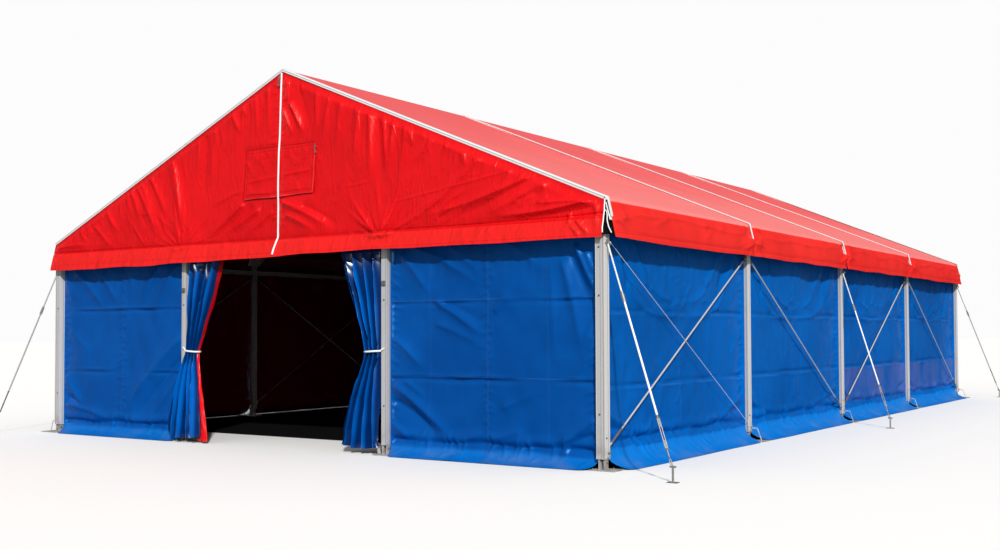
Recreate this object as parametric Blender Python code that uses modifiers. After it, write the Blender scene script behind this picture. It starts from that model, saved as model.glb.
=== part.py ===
"""A clear-span marquee, 10 m wide and 16 m long, of aluminium frames and PVC sheets.

Metres, +Z up. The ground is Z = 0, the ridge runs along Y and the door is in the gable at -Y.
The frames are numbered from 1 at the door gable to 5 at the far gable, and the bays between them
from 1 to 4.
"""

import math

import bmesh
import bpy
from mathutils import Matrix, Vector

# Driving dimensions of the tent
HALF_WIDTH = 5.0  # centre line to the outer face of a leg
BAY = 4.0
BAYS = 4
RIDGE_HEIGHT = 5.10  # of the roof sheet
EAVE_HEIGHT = 2.97  # where the roof sheet bends down into the valance
EAVE_REACH = 5.01
VALANCE_BOTTOM = 2.58
VALANCE_FLARE = 0.11
DOOR_POSTS = (-1.985, 1.785)  # centres of the two gable posts, left and right

# Sections and thicknesses
GAP = 0.0003  # between pieces that touch
SHEET = 0.004
LEG_DEPTH = 0.12  # across the tent
LEG_WIDTH = 0.10  # along the tent
GROOVE = 0.008
POST_WIDTH = 0.09
FRAME_THICK = 0.075  # of a rafter or gable post, along the tent
RAFTER_DEPTH = 0.125
STRIP_THICK = 0.006
STRIP_WIDTH = 0.05
END_STRIP_WIDTH = 0.09
FIN_WIDTH = 0.02
KNEE_HEIGHT = 2.74
HAUNCH_REACH = 0.38
GUSSET_REACH = 0.45
HEADER = (2.66, 2.72)  # underside and top of the beam that the door curtains hang from

# Feet
PLATE = 0.012
PLATE_HALF = 0.12
FOOT_HEIGHT = 0.125  # underside of a leg above the ground
LUG_TOP = 0.17
LUG_OFFSET = 0.034
HOOP_HEIGHT = 0.18
HOOP_RADIUS = 0.007

# Wall sheets
WALL_PLANE = HALF_WIDTH - LEG_DEPTH / 2
END_WALL_INSET = 0.03  # of the end walls behind the centre line of their frame
SIDE_WALL_TOP = 2.80
END_WALL_TOP = 2.72
CREASE_HEIGHT = 0.22
SIDE_SKIRT = 0.30
END_SKIRT = 0.21
SKIRT_LIFT = 0.006
CUT_BACK = 0.30  # radius of a skirt's corners, which leave the feet free

# Gable sheets
HEM_HEIGHT = 0.22
HEM_FLARE = 0.12

# Bracing and guys
BRACE_RADIUS = 0.011
CABLE_RADIUS = 0.004
BRACE_LOW = 0.25
BRACE_HIGH = 2.56
OUTER_BRACE_PLANE = HALF_WIDTH - 0.028
OUTER_CABLE_PLANE = HALF_WIDTH - 0.008
INNER_BRACE_PLANE = HALF_WIDTH - 0.095
INNER_CABLE_PLANE = HALF_WIDTH - 0.115
GUY_TOP = 2.53
PEG_HEIGHT = 0.13

SLOPE = (RIDGE_HEIGHT - EAVE_HEIGHT) / EAVE_REACH
FRONT = -BAY * BAYS / 2
FRAMES = [FRONT + BAY * number for number in range(BAYS + 1)]
ACROSS = Matrix.Rotation(math.pi / 2, 4, "X")  # stands an outline drawn in XY up in XZ


def clear_scene():
    for old in list(bpy.data.objects):
        bpy.data.objects.remove(old, do_unlink=True)


def finish(name, colour, roughness, metallic):
    made = bpy.data.materials.new(name)
    made.use_nodes = True
    shader = made.node_tree.nodes["Principled BSDF"]
    shader.inputs["Base Color"].default_value = (*colour, 1.0)
    shader.inputs["Roughness"].default_value = roughness
    shader.inputs["Metallic"].default_value = metallic
    return made


def mesh_of(obj):
    """The object's evaluated shape in world space, as one closed mesh. The object is removed."""
    graph = bpy.context.evaluated_depsgraph_get()
    mesh = bpy.data.meshes.new_from_object(obj.evaluated_get(graph))
    mesh.transform(obj.matrix_world)
    bpy.data.objects.remove(obj, do_unlink=True)
    shape = bmesh.new()
    shape.from_mesh(mesh)
    bmesh.ops.remove_doubles(shape, verts=shape.verts, dist=0.00001)
    bmesh.ops.recalc_face_normals(shape, faces=shape.faces)
    shape.to_mesh(mesh)
    shape.free()
    mesh.materials.clear()
    return mesh


def helper(data, matrix=None):
    """An object that is only used to make another one."""
    obj = bpy.data.objects.new("helper", data)
    bpy.context.scene.collection.objects.link(obj)
    if matrix is not None:
        obj.matrix_world = matrix
    bpy.context.view_layer.update()
    return obj


def block(low, high):
    """A box between two corners."""
    shape = bmesh.new()
    bmesh.ops.create_cube(shape, size=1.0)
    low, high = Vector(low), Vector(high)
    bmesh.ops.scale(shape, vec=high - low, verts=shape.verts)
    bmesh.ops.translate(shape, vec=(low + high) / 2, verts=shape.verts)
    mesh = bpy.data.meshes.new("block")
    shape.to_mesh(mesh)
    shape.free()
    return helper(mesh)


def rod(points, radius, resolution=2):
    """A round bar through the points."""
    curve = bpy.data.curves.new("rod", "CURVE")
    curve.dimensions = "3D"
    curve.bevel_depth = radius
    curve.bevel_resolution = resolution
    curve.use_fill_caps = True
    spline = curve.splines.new("POLY")
    spline.points.add(len(points) - 1)
    for point, place in zip(spline.points, points):
        point.co = (*place, 1.0)
    return helper(mesh_of(helper(curve)))


def slab(outline, thickness, matrix=None):
    """A flat outline, extruded by half the thickness to both sides."""
    curve = bpy.data.curves.new("slab", "CURVE")
    curve.dimensions = "2D"
    curve.fill_mode = "BOTH"
    curve.extrude = thickness / 2
    spline = curve.splines.new("POLY")
    spline.points.add(len(outline) - 1)
    for point, (x, y) in zip(spline.points, outline):
        point.co = (x, y, 0.0, 1.0)
    spline.use_cyclic_u = True
    return helper(mesh_of(helper(curve, matrix)))


def fuse(pieces, solver="EXACT"):
    """One closed mesh from overlapping pieces."""
    body, *others = pieces
    for other in others:
        join = body.modifiers.new("join", "BOOLEAN")
        join.operation = "UNION"
        join.solver = solver
        join.object = other
    bpy.context.view_layer.update()
    mesh = mesh_of(body)
    for other in others:
        bpy.data.objects.remove(other, do_unlink=True)
    return mesh


def part(name, mesh, material, place=(0, 0, 0), turn=0.0):
    """A named piece of the tent, which may share its mesh with like pieces."""
    if not mesh.materials:
        mesh.materials.append(material)
    mesh.shade_smooth()
    mesh.set_sharp_from_angle(angle=math.radians(30))
    obj = bpy.data.objects.new(name, mesh)
    obj.location = place
    obj.rotation_euler.z = turn
    bpy.data.collections["marquee"].objects.link(obj)
    return obj


def sheet_mesh(columns, rows, place):
    """An open sheet, made from a grid whose point (column, row) is moved to place(column, row)."""
    shape = bmesh.new()
    bmesh.ops.create_grid(shape, x_segments=columns, y_segments=rows, size=0.5)
    for vertex in shape.verts:
        column = round((vertex.co.x + 0.5) * columns)
        row = round((vertex.co.y + 0.5) * rows)
        vertex.co = place(column, row)
    mesh = bpy.data.meshes.new("sheet")
    shape.to_mesh(mesh)
    shape.free()
    return mesh


def thicken(obj):
    """Gives an open sheet its thickness."""
    solid = obj.modifiers.new("thickness", "SOLIDIFY")
    solid.thickness = SHEET
    solid.offset = 0.0
    solid.use_even_offset = True
    return obj


def roof_line(x):
    return RIDGE_HEIGHT - SLOPE * abs(x)


def beside(path, distance):
    """The 2D path moved sideways by the distance, to its left, with mitred corners."""
    moved = []
    for index, point in enumerate(path):
        before = path[max(index - 1, 0)]
        after = path[min(index + 1, len(path) - 1)]
        normals = []
        for start, end in ((before, point), (point, after)):
            along = Vector(end) - Vector(start)
            if along.length > 0:
                normals.append(Vector((-along.y, along.x)).normalized())
        middle = sum(normals, Vector((0, 0))).normalized()
        moved.append(Vector(point) + middle * distance / middle.dot(normals[0]))
    return [tuple(point) for point in moved]


def mirrored(path):
    """The path on the +X side, from the ridge outwards, with its mirror image put before it."""
    return [(-x, z) for x, z in reversed(path[1:])] + path


def grooved_section(depth, width):
    """The outline of a leg, with a groove down the middle of each face."""
    half = GROOVE / 2
    corner = []
    for side_x, side_y in ((1, -1), (1, 1), (-1, 1), (-1, -1)):
        x, y = side_x * depth / 2, side_y * width / 2
        on_x = [(x, side_y * half), (x - side_x * GROOVE, side_y * half * 0.8)]
        on_y = [(side_x * half, y), (side_x * half * 0.8, y - side_y * GROOVE)]
        if side_x * side_y < 0:
            corner += [on_y[1], on_y[0], (x, y), on_x[0], on_x[1]]
        else:
            corner += [on_x[1], on_x[0], (x, y), on_y[0], on_y[1]]
    return corner


def foot(width, outer):
    """The ground plate and the two upright lugs under a leg or post at the origin."""
    plate = block((-PLATE_HALF, -PLATE_HALF, 0), (outer, PLATE_HALF, PLATE))
    lugs = []
    for side in (-1, 1):
        middle = side * LUG_OFFSET
        low = (middle - 0.009, -width * 0.36, PLATE / 2)
        high = (middle + 0.009, width * 0.36, LUG_TOP)
        lugs.append(block(low, high))
    return [plate, *lugs]


def leg_mesh(hooped):
    """A side leg on its foot, standing at the origin with its outer face towards +X."""
    outline = grooved_section(LEG_DEPTH, LEG_WIDTH)
    height = KNEE_HEIGHT - GAP - FOOT_HEIGHT
    lift = Matrix.Translation((0, 0, FOOT_HEIGHT + height / 2))
    outer = LEG_DEPTH / 2
    pieces = [slab(outline, height, lift)]
    pieces += foot(LEG_WIDTH, 0.30 if hooped else 0.20)
    low = (outer - 0.02, -0.03, HOOP_HEIGHT - 0.035)
    pieces.append(block(low, (outer + 0.016, 0.03, HOOP_HEIGHT + 0.035)))
    if hooped:
        route = [
            (outer, 0, HOOP_HEIGHT),
            (outer + 0.090, 0, HOOP_HEIGHT),
            (outer + 0.108, 0, HOOP_HEIGHT - 0.010),
            (outer + 0.165, 0, PLATE - 0.002),
        ]
        pieces.append(rod(route, HOOP_RADIUS))
    return fuse(pieces)


def build_legs(material):
    hooped, plain = leg_mesh(True), leg_mesh(False)
    centre = HALF_WIDTH - LEG_DEPTH / 2
    for number, y in enumerate(FRAMES, 1):
        right = plain if number == 1 else hooped
        part(f"leg_right_{number}", right, material, (centre, y, 0))
        part(f"leg_left_{number}", hooped, material, (-centre, y, 0), math.pi)


def rafter_mesh(strip_width):
    """Two rafters joined at the ridge, with knees for the legs and the white strip over the sheet joint."""
    clearance = SHEET / 2 + GAP
    eave = (EAVE_REACH, EAVE_HEIGHT)
    top = beside(mirrored([(0, RIDGE_HEIGHT), eave]), clearance * -1)
    under_drop = top[1][1] - beside(top, -RAFTER_DEPTH)[1][1]

    def under(x):
        return top[1][1] - under_drop - SLOPE * abs(x)

    def on_top(x):
        return top[1][1] - SLOPE * abs(x)

    inner = HALF_WIDTH - LEG_DEPTH
    half = [
        (0, on_top(0)),
        (HALF_WIDTH, on_top(HALF_WIDTH)),
        (HALF_WIDTH, KNEE_HEIGHT),
        (inner, KNEE_HEIGHT),
        (inner - HAUNCH_REACH, under(inner - HAUNCH_REACH)),
        (GUSSET_REACH, under(GUSSET_REACH)),
    ]
    outline = half + [(-x, z) for x, z in reversed(half[1:])]
    beams = slab(outline, FRAME_THICK, ACROSS)

    fin_path = mirrored([(0, RIDGE_HEIGHT), (HALF_WIDTH, roof_line(HALF_WIDTH))])
    fin = beside(fin_path, clearance + STRIP_THICK / 2) + beside(fin_path, -0.02)[::-1]

    share = 0.5
    end = (EAVE_REACH + VALANCE_FLARE * share, EAVE_HEIGHT + (VALANCE_BOTTOM - EAVE_HEIGHT) * share)
    cover_path = mirrored([(0, RIDGE_HEIGHT), eave, end])
    cover = beside(cover_path, clearance + STRIP_THICK) + beside(cover_path, clearance)[::-1]
    return fuse([beams, slab(fin, FIN_WIDTH, ACROSS), slab(cover, strip_width, ACROSS)])


def rafter_under(x):
    slant = math.hypot(1.0, SLOPE)
    return roof_line(x) - (SHEET / 2 + GAP + RAFTER_DEPTH) * slant


def build_rafters(material):
    middle, end = rafter_mesh(STRIP_WIDTH), rafter_mesh(END_STRIP_WIDTH)
    for number, y in enumerate(FRAMES, 1):
        mesh = end if y in (FRAMES[0], FRAMES[-1]) else middle
        part(f"rafters_{number}", mesh, material, (0, y, 0))


def build_gable_posts(material):
    for side, x in zip(("left", "right"), DOOR_POSTS):
        top = rafter_under(abs(x) + POST_WIDTH / 2) - GAP
        low = (-POST_WIDTH / 2, -FRAME_THICK / 2, FOOT_HEIGHT)
        post = block(low, (POST_WIDTH / 2, FRAME_THICK / 2, top))
        mesh = fuse([post, *foot(FRAME_THICK, PLATE_HALF)])
        for end, y in (("front", FRAMES[0]), ("rear", FRAMES[-1])):
            part(f"gable_post_{end}_{side}", mesh, material, (x, y, 0))


def build_rails(material):
    inner = HALF_WIDTH - LEG_DEPTH - GAP
    reach = FRAMES[-1] - END_WALL_INSET - 0.005
    rail = mesh_of(block((inner - 0.075, -reach, 2.62), (inner, reach, 2.70)))
    part("eave_rail_right", rail, material)
    part("eave_rail_left", rail, material, (0, 0, 0), math.pi)
    top = rafter_under(GUSSET_REACH) - GAP
    reach = FRAMES[-1] + FRAME_THICK / 2
    beam = mesh_of(block((-0.03, -reach, top - 0.10), (0.03, reach, top)))
    part("ridge_beam", beam, material)
    start, end = (x + side * (POST_WIDTH / 2 + GAP) for x, side in zip(DOOR_POSTS, (1, -1)))
    low = (start, -FRAME_THICK / 2 + 0.003, HEADER[0])
    header = mesh_of(block(low, (end, END_WALL_INSET - SHEET / 2 - GAP, HEADER[1])))
    part("door_header", header, material, (0, FRAMES[0], 0))


def build_roof(material):
    """One sheet a bay over the ridge, with its valances. It sags a little between the frames."""
    slope_steps, valance_steps = 4, 2
    sag = 0.035
    edge = BAY / 2 - FIN_WIDTH / 2 - GAP
    free = BAY / 2 - FRAME_THICK / 2 - 0.003  # half the length that no rafter carries
    stations = [-edge, -free, -free / 2, 0.0, free / 2, free, edge]
    half_steps = slope_steps + valance_steps

    def place(column, row):
        step = column - half_steps
        along = stations[row]
        if abs(step) <= slope_steps:
            share = abs(step) / slope_steps
            x = EAVE_REACH * share
            hang = math.cos(min(abs(along) / free, 1.0) * math.pi / 2)
            z = roof_line(x) - sag * math.sin(math.pi * share) * hang
        else:
            share = (abs(step) - slope_steps) / valance_steps
            x = EAVE_REACH + VALANCE_FLARE * share
            z = EAVE_HEIGHT + (VALANCE_BOTTOM - EAVE_HEIGHT) * share
        return (math.copysign(x, step), along, z)

    mesh = sheet_mesh(2 * half_steps, len(stations) - 1, place)
    for bay in range(BAYS):
        sheet = part(f"roof_sheet_{bay + 1}", mesh, material, (0, FRAMES[bay] + BAY / 2, 0))
        thicken(sheet)


def build_gable_sheets(material):
    """The red triangle over each end wall, whose hem stands out from the posts."""
    columns = 12
    plane = -FRAME_THICK / 2 - GAP - SHEET / 2
    crease = VALANCE_BOTTOM + HEM_HEIGHT

    def place(column, row):
        across = 2 * column / columns - 1
        x = across * EAVE_REACH
        top = roof_line(x) + SHEET / 4
        if row >= 2:
            return (x, plane, crease + (top - crease) * (row - 2) / 2)
        share = 1 - row / 2
        return (x, plane - HEM_FLARE * share, crease - HEM_HEIGHT * share)

    mesh = sheet_mesh(columns, 4, place)
    thicken(part("gable_sheet_front", mesh, material, (0, FRAMES[0], 0)))
    thicken(part("gable_sheet_rear", mesh, material, (0, FRAMES[-1], 0), math.pi))


def wall_mesh(width, top, skirt):
    """A wall sheet that faces -Y, with the skirt at its foot and the skirt's corners cut back in an arc."""
    edge_steps = [0.0, 0.012, 0.07, 0.18, 0.32]
    middle_steps = 3
    span = width - 2 * edge_steps[-1]
    stations = edge_steps + [edge_steps[-1] + span * (n + 1) / middle_steps for n in range(middle_steps)]
    stations += [width - edge for edge in reversed(edge_steps[:-1])]
    levels = [top, (top + CREASE_HEIGHT) / 2, CREASE_HEIGHT]
    skirt_steps = 3

    def place(column, row):
        across = stations[column]
        level = len(levels) - 1 + skirt_steps - row
        if level < len(levels):
            return (across - width / 2, 0.0, levels[level])
        clear = max(min(across, width - across) - edge_steps[1], 0.0)
        full = math.sqrt(1 - (1 - min(clear / CUT_BACK, 1.0)) ** 2)
        turned = max(full, 0.03) * (level - len(levels) + 1) / skirt_steps * math.pi / 2
        height = SKIRT_LIFT + (CREASE_HEIGHT - SKIRT_LIFT) * (1 - math.sin(turned))
        return (across - width / 2, -skirt * (1 - math.cos(turned)), height)

    return sheet_mesh(len(stations) - 1, len(levels) - 1 + skirt_steps, place)


def build_walls(material):
    groove_floor = LEG_WIDTH / 2 - GROOVE + GAP
    side = wall_mesh(BAY - 2 * groove_floor, SIDE_WALL_TOP, SIDE_SKIRT)
    for bay in range(BAYS):
        y = FRAMES[bay] + BAY / 2
        right = part(f"side_wall_right_{bay + 1}", side, material, (WALL_PLANE, y, 0), math.pi / 2)
        left = part(f"side_wall_left_{bay + 1}", side, material, (-WALL_PLANE, y, 0), -math.pi / 2)
        thicken(right)
        thicken(left)
    corner = HALF_WIDTH - LEG_DEPTH - GAP
    beside_post = POST_WIDTH / 2 + GAP
    left_post, right_post = DOOR_POSTS
    panels = {
        "left": (-corner, left_post - beside_post),
        "middle": (left_post + beside_post, right_post - beside_post),
        "right": (right_post + beside_post, corner),
    }
    for name, (start, end) in panels.items():
        mesh = wall_mesh(end - start, END_WALL_TOP, END_SKIRT)
        middle = (start + end) / 2
        if name != "middle":
            front = (middle, FRAMES[0] + END_WALL_INSET, 0)
            thicken(part(f"front_wall_{name}", mesh, material, front))
        rear = (middle, FRAMES[-1] - END_WALL_INSET, 0)
        thicken(part(f"rear_wall_{name}", mesh, material, rear, math.pi))


def build_curtain(name, sections, material):
    """A gathered door curtain: a closed loft through oval sections, given from the floor up as
    (height, centre x, centre y, half width, half depth)."""
    sides = 16
    shape = bmesh.new()
    bmesh.ops.create_cone(
        shape, cap_ends=True, segments=sides, radius1=1.0, radius2=1.0, depth=1.0
    )
    upright = [e for e in shape.edges if abs(e.verts[0].co.z - e.verts[1].co.z) > 0.5]
    bmesh.ops.subdivide_edges(shape, edges=upright, cuts=len(sections) - 2, use_grid_fill=True)
    for vertex in shape.verts:
        level = round((vertex.co.z + 0.5) * (len(sections) - 1))
        height, x, y, half_width, half_depth = sections[level]
        vertex.co = (x + vertex.co.x * half_width, y + vertex.co.y * half_depth, height)
    bmesh.ops.recalc_face_normals(shape, faces=shape.faces)
    mesh = bpy.data.meshes.new(name)
    shape.to_mesh(mesh)
    shape.free()
    part(name, mesh, material)


def build_curtains(material):
    y = FRAMES[0]
    left = [
        (0.05, -1.90, y - 0.165, 0.42, 0.055),
        (0.30, -1.89, y - 0.160, 0.37, 0.060),
        (0.70, -1.86, y - 0.150, 0.28, 0.065),
        (1.05, -1.80, y - 0.110, 0.17, 0.065),
        (1.28, -1.765, y - 0.060, 0.11, 0.060),
        (1.50, -1.745, y - 0.020, 0.14, 0.060),
        (1.90, -1.700, y + 0.000, 0.20, 0.055),
        (2.30, -1.650, y + 0.000, 0.26, 0.050),
        (HEADER[0] - GAP, -1.620, y - 0.003, 0.30, 0.030),
    ]
    right = [
        (0.06, 1.35, y - 0.005, 0.31, 0.060),
        (0.30, 1.37, y - 0.005, 0.28, 0.060),
        (0.70, 1.44, y - 0.005, 0.22, 0.060),
        (1.05, 1.54, y - 0.005, 0.15, 0.060),
        (1.28, 1.61, y - 0.005, 0.10, 0.055),
        (1.50, 1.58, y - 0.005, 0.13, 0.055),
        (1.90, 1.49, y - 0.005, 0.20, 0.055),
        (2.30, 1.40, y - 0.005, 0.27, 0.050),
        (HEADER[0] - GAP, 1.33, y - 0.003, 0.32, 0.030),
    ]
    build_curtain("door_curtain_left", left, material)
    build_curtain("door_curtain_right", right, material)


def build_brace(name, x, start, end, radius, material):
    """A straight tie between two legs, from (y, z) to (y, z), with a cleat at each end."""
    (y0, z0), (y1, z1) = start, end
    face = LEG_WIDTH / 2 + GAP
    y0, y1 = y0 + face, y1 - face
    cleat = 0.012
    wide = radius + 0.004
    pieces = [rod([(x, y0 + cleat / 2, z0), (x, y1 - cleat / 2, z1)], radius)]
    for y, z, side in ((y0, z0, 1), (y1, z1, -1)):
        low, high = sorted((y, y + side * cleat))
        pieces.append(block((x - wide, low, z - 0.04), (x + wide, high, z + 0.04)))
    # The exact solver leaves a thin cable apart from its cleats
    part(name, fuse(pieces, "MANIFOLD"), material)


def build_braces(steel, rope):
    """Rods in every side bay, leaning to and fro, with one cable a side that makes a full cross."""
    rising = {"right": (True, False, True, False), "left": (True, False, True, False)}
    crossed = {"right": 0, "left": 1}
    planes = {"right": (OUTER_BRACE_PLANE, OUTER_CABLE_PLANE), "left": (-INNER_BRACE_PLANE, -INNER_CABLE_PLANE)}
    for side, leans in rising.items():
        brace_x, cable_x = planes[side]
        for bay, up in enumerate(leans):
            heights = (BRACE_LOW, BRACE_HIGH) if up else (BRACE_HIGH, BRACE_LOW)
            ends = [(FRAMES[bay + end], heights[end]) for end in (0, 1)]
            build_brace(f"brace_{side}_{bay + 1}", brace_x, *ends, BRACE_RADIUS, steel)
            if bay == crossed[side]:
                ends = [(FRAMES[bay + end], heights[1 - end]) for end in (0, 1)]
                build_brace(f"brace_cable_{side}", cable_x, *ends, CABLE_RADIUS, rope)


def build_guy(name, side, y, out, forward, material):
    """A guy from a leg's top to its ground peg: cable, grip, rope, turnbuckle, link and peg."""
    eye = Vector((side * (HALF_WIDTH + GAP), y, GUY_TOP))
    peg = Vector((side * (HALF_WIDTH + out), y - forward, PEG_HEIGHT))
    away = Vector((side * 0.010, 0, 0))
    run = peg - eye - away
    across = run.cross(Vector((0, 0, 1))).normalized() * 0.020

    def at(share):
        return eye + away + run * share

    low = Vector((min(eye.x, eye.x + 2 * away.x), y - 0.02, GUY_TOP - 0.03))
    high = Vector((max(eye.x, eye.x + 2 * away.x), y + 0.02, GUY_TOP + 0.03))
    pieces = [
        block(low, high),
        rod([at(0.0), at(0.27)], 0.005),
        rod([at(0.24), at(0.285)], 0.013),
        rod([at(0.27), at(0.80)], 0.009),
        rod([at(0.787) - across * 1.3, at(0.787) + across * 1.3], 0.012),
        rod([at(0.787) - across, at(0.915) - across], 0.007),
        rod([at(0.787) + across, at(0.915) + across], 0.007),
        rod([at(0.915) - across * 1.3, at(0.915) + across * 1.3], 0.012),
        rod([at(0.915), peg], 0.008),
        rod([peg + Vector((0, 0, 0.03)), (peg.x, peg.y, 0.004)], 0.011),
        block((peg.x - 0.06, peg.y - 0.035, 0), (peg.x + 0.06, peg.y + 0.035, 0.008)),
    ]
    # The exact solver leaves a doubled edge where the thin coaxial rods meet
    part(name, fuse(pieces, "MANIFOLD"), material)


def build_guys(material):
    front, middle, rear = FRAMES[0], FRAMES[BAYS // 2], FRAMES[-1]
    build_guy("guy_front_right", 1, front, 1.08, 0.56, material)
    build_guy("guy_front_left", -1, front, 0.78, 0.56, material)
    build_guy("guy_middle_right", 1, middle, 1.08, 1.00, material)
    build_guy("guy_middle_left", -1, middle, 1.08, 1.00, material)
    build_guy("guy_rear_right", 1, rear, 0.78, -0.56, material)
    build_guy("guy_rear_left", -1, rear, 0.78, -0.56, material)


def main():
    clear_scene()
    marquee = bpy.data.collections.new("marquee")
    bpy.context.scene.collection.children.link(marquee)
    build_legs(finish("leg_aluminium", (0.62, 0.60, 0.57), 0.45, 0.9))
    build_rafters(finish("rafter_aluminium", (0.66, 0.65, 0.62), 0.45, 0.9))
    build_gable_posts(finish("post_aluminium", (0.62, 0.60, 0.57), 0.45, 0.9))
    build_rails(finish("rail_aluminium", (0.55, 0.54, 0.52), 0.5, 0.9))
    build_roof(finish("roof_pvc", (0.80, 0.06, 0.05), 0.4, 0.0))
    build_gable_sheets(finish("gable_pvc", (0.75, 0.01, 0.02), 0.35, 0.0))
    build_walls(finish("wall_pvc", (0.0, 0.10, 0.50), 0.35, 0.0))
    build_curtains(finish("curtain_pvc", (0.0, 0.12, 0.58), 0.3, 0.0))
    steel = finish("galvanised_steel", (0.55, 0.55, 0.54), 0.45, 0.95)
    build_braces(steel, finish("steel_rope", (0.30, 0.30, 0.30), 0.5, 0.9))
    build_guys(finish("guy_steel", (0.60, 0.60, 0.58), 0.45, 0.8))


main()
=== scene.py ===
"""A clear-span marquee: aluminium frames under a red PVC roof, with blue PVC walls.

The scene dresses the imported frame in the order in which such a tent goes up, from the legs to the
guys. Metres, +Z up, the ridge along Y and the door in the gable at -Y.
"""

import math

import bmesh
import bpy
import numpy as np
from mathutils import Matrix, Vector


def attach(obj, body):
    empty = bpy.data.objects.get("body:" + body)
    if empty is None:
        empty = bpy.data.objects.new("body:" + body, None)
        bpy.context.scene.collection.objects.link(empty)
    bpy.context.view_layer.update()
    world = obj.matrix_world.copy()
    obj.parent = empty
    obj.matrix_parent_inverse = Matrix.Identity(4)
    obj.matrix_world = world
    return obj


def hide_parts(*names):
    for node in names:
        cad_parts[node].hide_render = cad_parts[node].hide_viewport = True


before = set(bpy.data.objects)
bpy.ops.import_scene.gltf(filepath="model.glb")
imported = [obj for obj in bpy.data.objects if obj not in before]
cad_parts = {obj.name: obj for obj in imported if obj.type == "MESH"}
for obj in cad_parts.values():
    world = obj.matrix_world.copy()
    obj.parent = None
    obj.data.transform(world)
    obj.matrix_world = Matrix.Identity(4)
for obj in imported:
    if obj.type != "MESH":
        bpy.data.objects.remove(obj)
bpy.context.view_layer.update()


# Frames
# Each frame is two legs and two rafters of extruded aluminium with grooves for the sheets. The metal
# is mill finished: dull, streaked along its length, and stained brown where it has been handled.


class Line:
    """A value, colour or vector on its way through a material's nodes."""

    def __init__(self, socket):
        self.socket = socket

    def add(self, kind, settings=None, inputs=None, output=0):
        """Another node of the same material, its settings first and then its sockets."""
        node = self.socket.id_data.nodes.new(kind)
        for name, value in (settings or {}).items():
            setattr(node, name, value)
        for name, value in (inputs or {}).items():
            if isinstance(value, Line):
                self.socket.id_data.links.new(value.socket, node.inputs[name])
            else:
                node.inputs[name].default_value = value
        return Line(node.outputs[output])

    def maths(self, operation, *values):
        return self.add("ShaderNodeMath", {"operation": operation}, dict(enumerate(values)))

    def __add__(self, other):
        return self.maths("ADD", self, other)

    def __sub__(self, other):
        return self.maths("SUBTRACT", self, other)

    def __rsub__(self, other):
        return self.maths("SUBTRACT", other, self)

    def __mul__(self, other):
        return self.maths("MULTIPLY", self, other)

    def __mod__(self, other):
        return self.maths("FLOORED_MODULO", self, other)

    def __abs__(self):
        return self.maths("ABSOLUTE", self)

    __radd__ = __add__
    __rmul__ = __mul__

    def larger(self, *others):
        """The largest of this value and the others."""
        largest = self
        for other in others:
            largest = largest.maths("MAXIMUM", largest, other)
        return largest

    def axis(self, name):
        return self.add("ShaderNodeSeparateXYZ", None, {0: self}, "XYZ".index(name))

    def scaled(self, x, y, z):
        settings = {"operation": "MULTIPLY"}
        return self.add("ShaderNodeVectorMath", settings, {0: self, 1: (x, y, z)})

    def rise(self, low, high):
        """0 below the low value and 1 above the high one, or the other way round, smoothly."""
        ends = (0.0, 1.0) if low < high else (1.0, 0.0)
        low, high = sorted((low, high))
        inputs = {"From Min": low, "From Max": high, "To Min": ends[0], "To Max": ends[1]}
        settings = {"interpolation_type": "SMOOTHSTEP"}
        return self.add("ShaderNodeMapRange", settings, {"Value": self, **inputs})

    def near(self, middle, outer, inner):
        """1 within the inner distance of a middle value, and 0 beyond the outer one."""
        return abs(self - middle).rise(outer, inner)

    def spread(self, low, high):
        """A value from 0 to 1, stretched to run from low to high."""
        return self * (high - low) + low

    def blend(self, first, second):
        """The first colour where this value is 0, and the second where it is 1."""
        colours = {6: first, 7: second}
        for number, colour in colours.items():
            if not isinstance(colour, Line):
                colours[number] = (*colour, 1.0)
        return self.add("ShaderNodeMix", {"data_type": "RGBA"}, {0: self, **colours}, 2)

    def noise(self, scale, detail=3.0, rough=0.5, seed=0.0):
        """Cloudy noise from 0 to 1 over a position."""
        inputs = {"W": seed, "Scale": scale, "Detail": detail, "Roughness": rough}
        return self.add("ShaderNodeTexNoise", {"noise_dimensions": "4D"}, {"Vector": self, **inputs})


def new_finish(name):
    """A material, with the position on the tent and the shader to be fed."""
    made = bpy.data.materials.new(name)
    made.use_nodes = True
    nodes = made.node_tree.nodes
    place = Line(nodes.new("ShaderNodeNewGeometry").outputs["Position"])
    return made, place, nodes["Principled BSDF"]


def feed(shader, **values):
    """Sets or links the shader's sockets, which are named with _ for a space."""
    for name, value in values.items():
        socket = shader.inputs[name.replace("_", " ").title().replace("Ior", "IOR")]
        if isinstance(value, Line):
            value.socket.id_data.links.new(value.socket, socket)
        elif isinstance(value, tuple):
            socket.default_value = (*value, 1.0)
        else:
            socket.default_value = value


def bumped(height, distance, strength=1.0):
    inputs = {"Height": height, "Distance": distance, "Strength": strength}
    return height.add("ShaderNodeBump", None, inputs)


bay = 4.0
leg_centre = 4.94
post_lines = {"left": -1.985, "right": 1.785}
post_middle = (post_lines["left"] + post_lines["right"]) / 2
scratch_tone = (0.74, 0.73, 0.71)
# A painted highlight for the outer corners of legs and posts, and a dark brown for their flutes: dirt with
# painted shade.
corner_highlight = (0.80, 0.79, 0.77)
flute_dirt_and_shade = (0.10, 0.085, 0.07)
splashed_mud = (0.17, 0.13, 0.10)


def off_frame(place):
    """How far along the tent a point is from the nearest frame line, to either side."""
    return (place.axis("Y") + bay / 2) % bay - bay / 2


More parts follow.
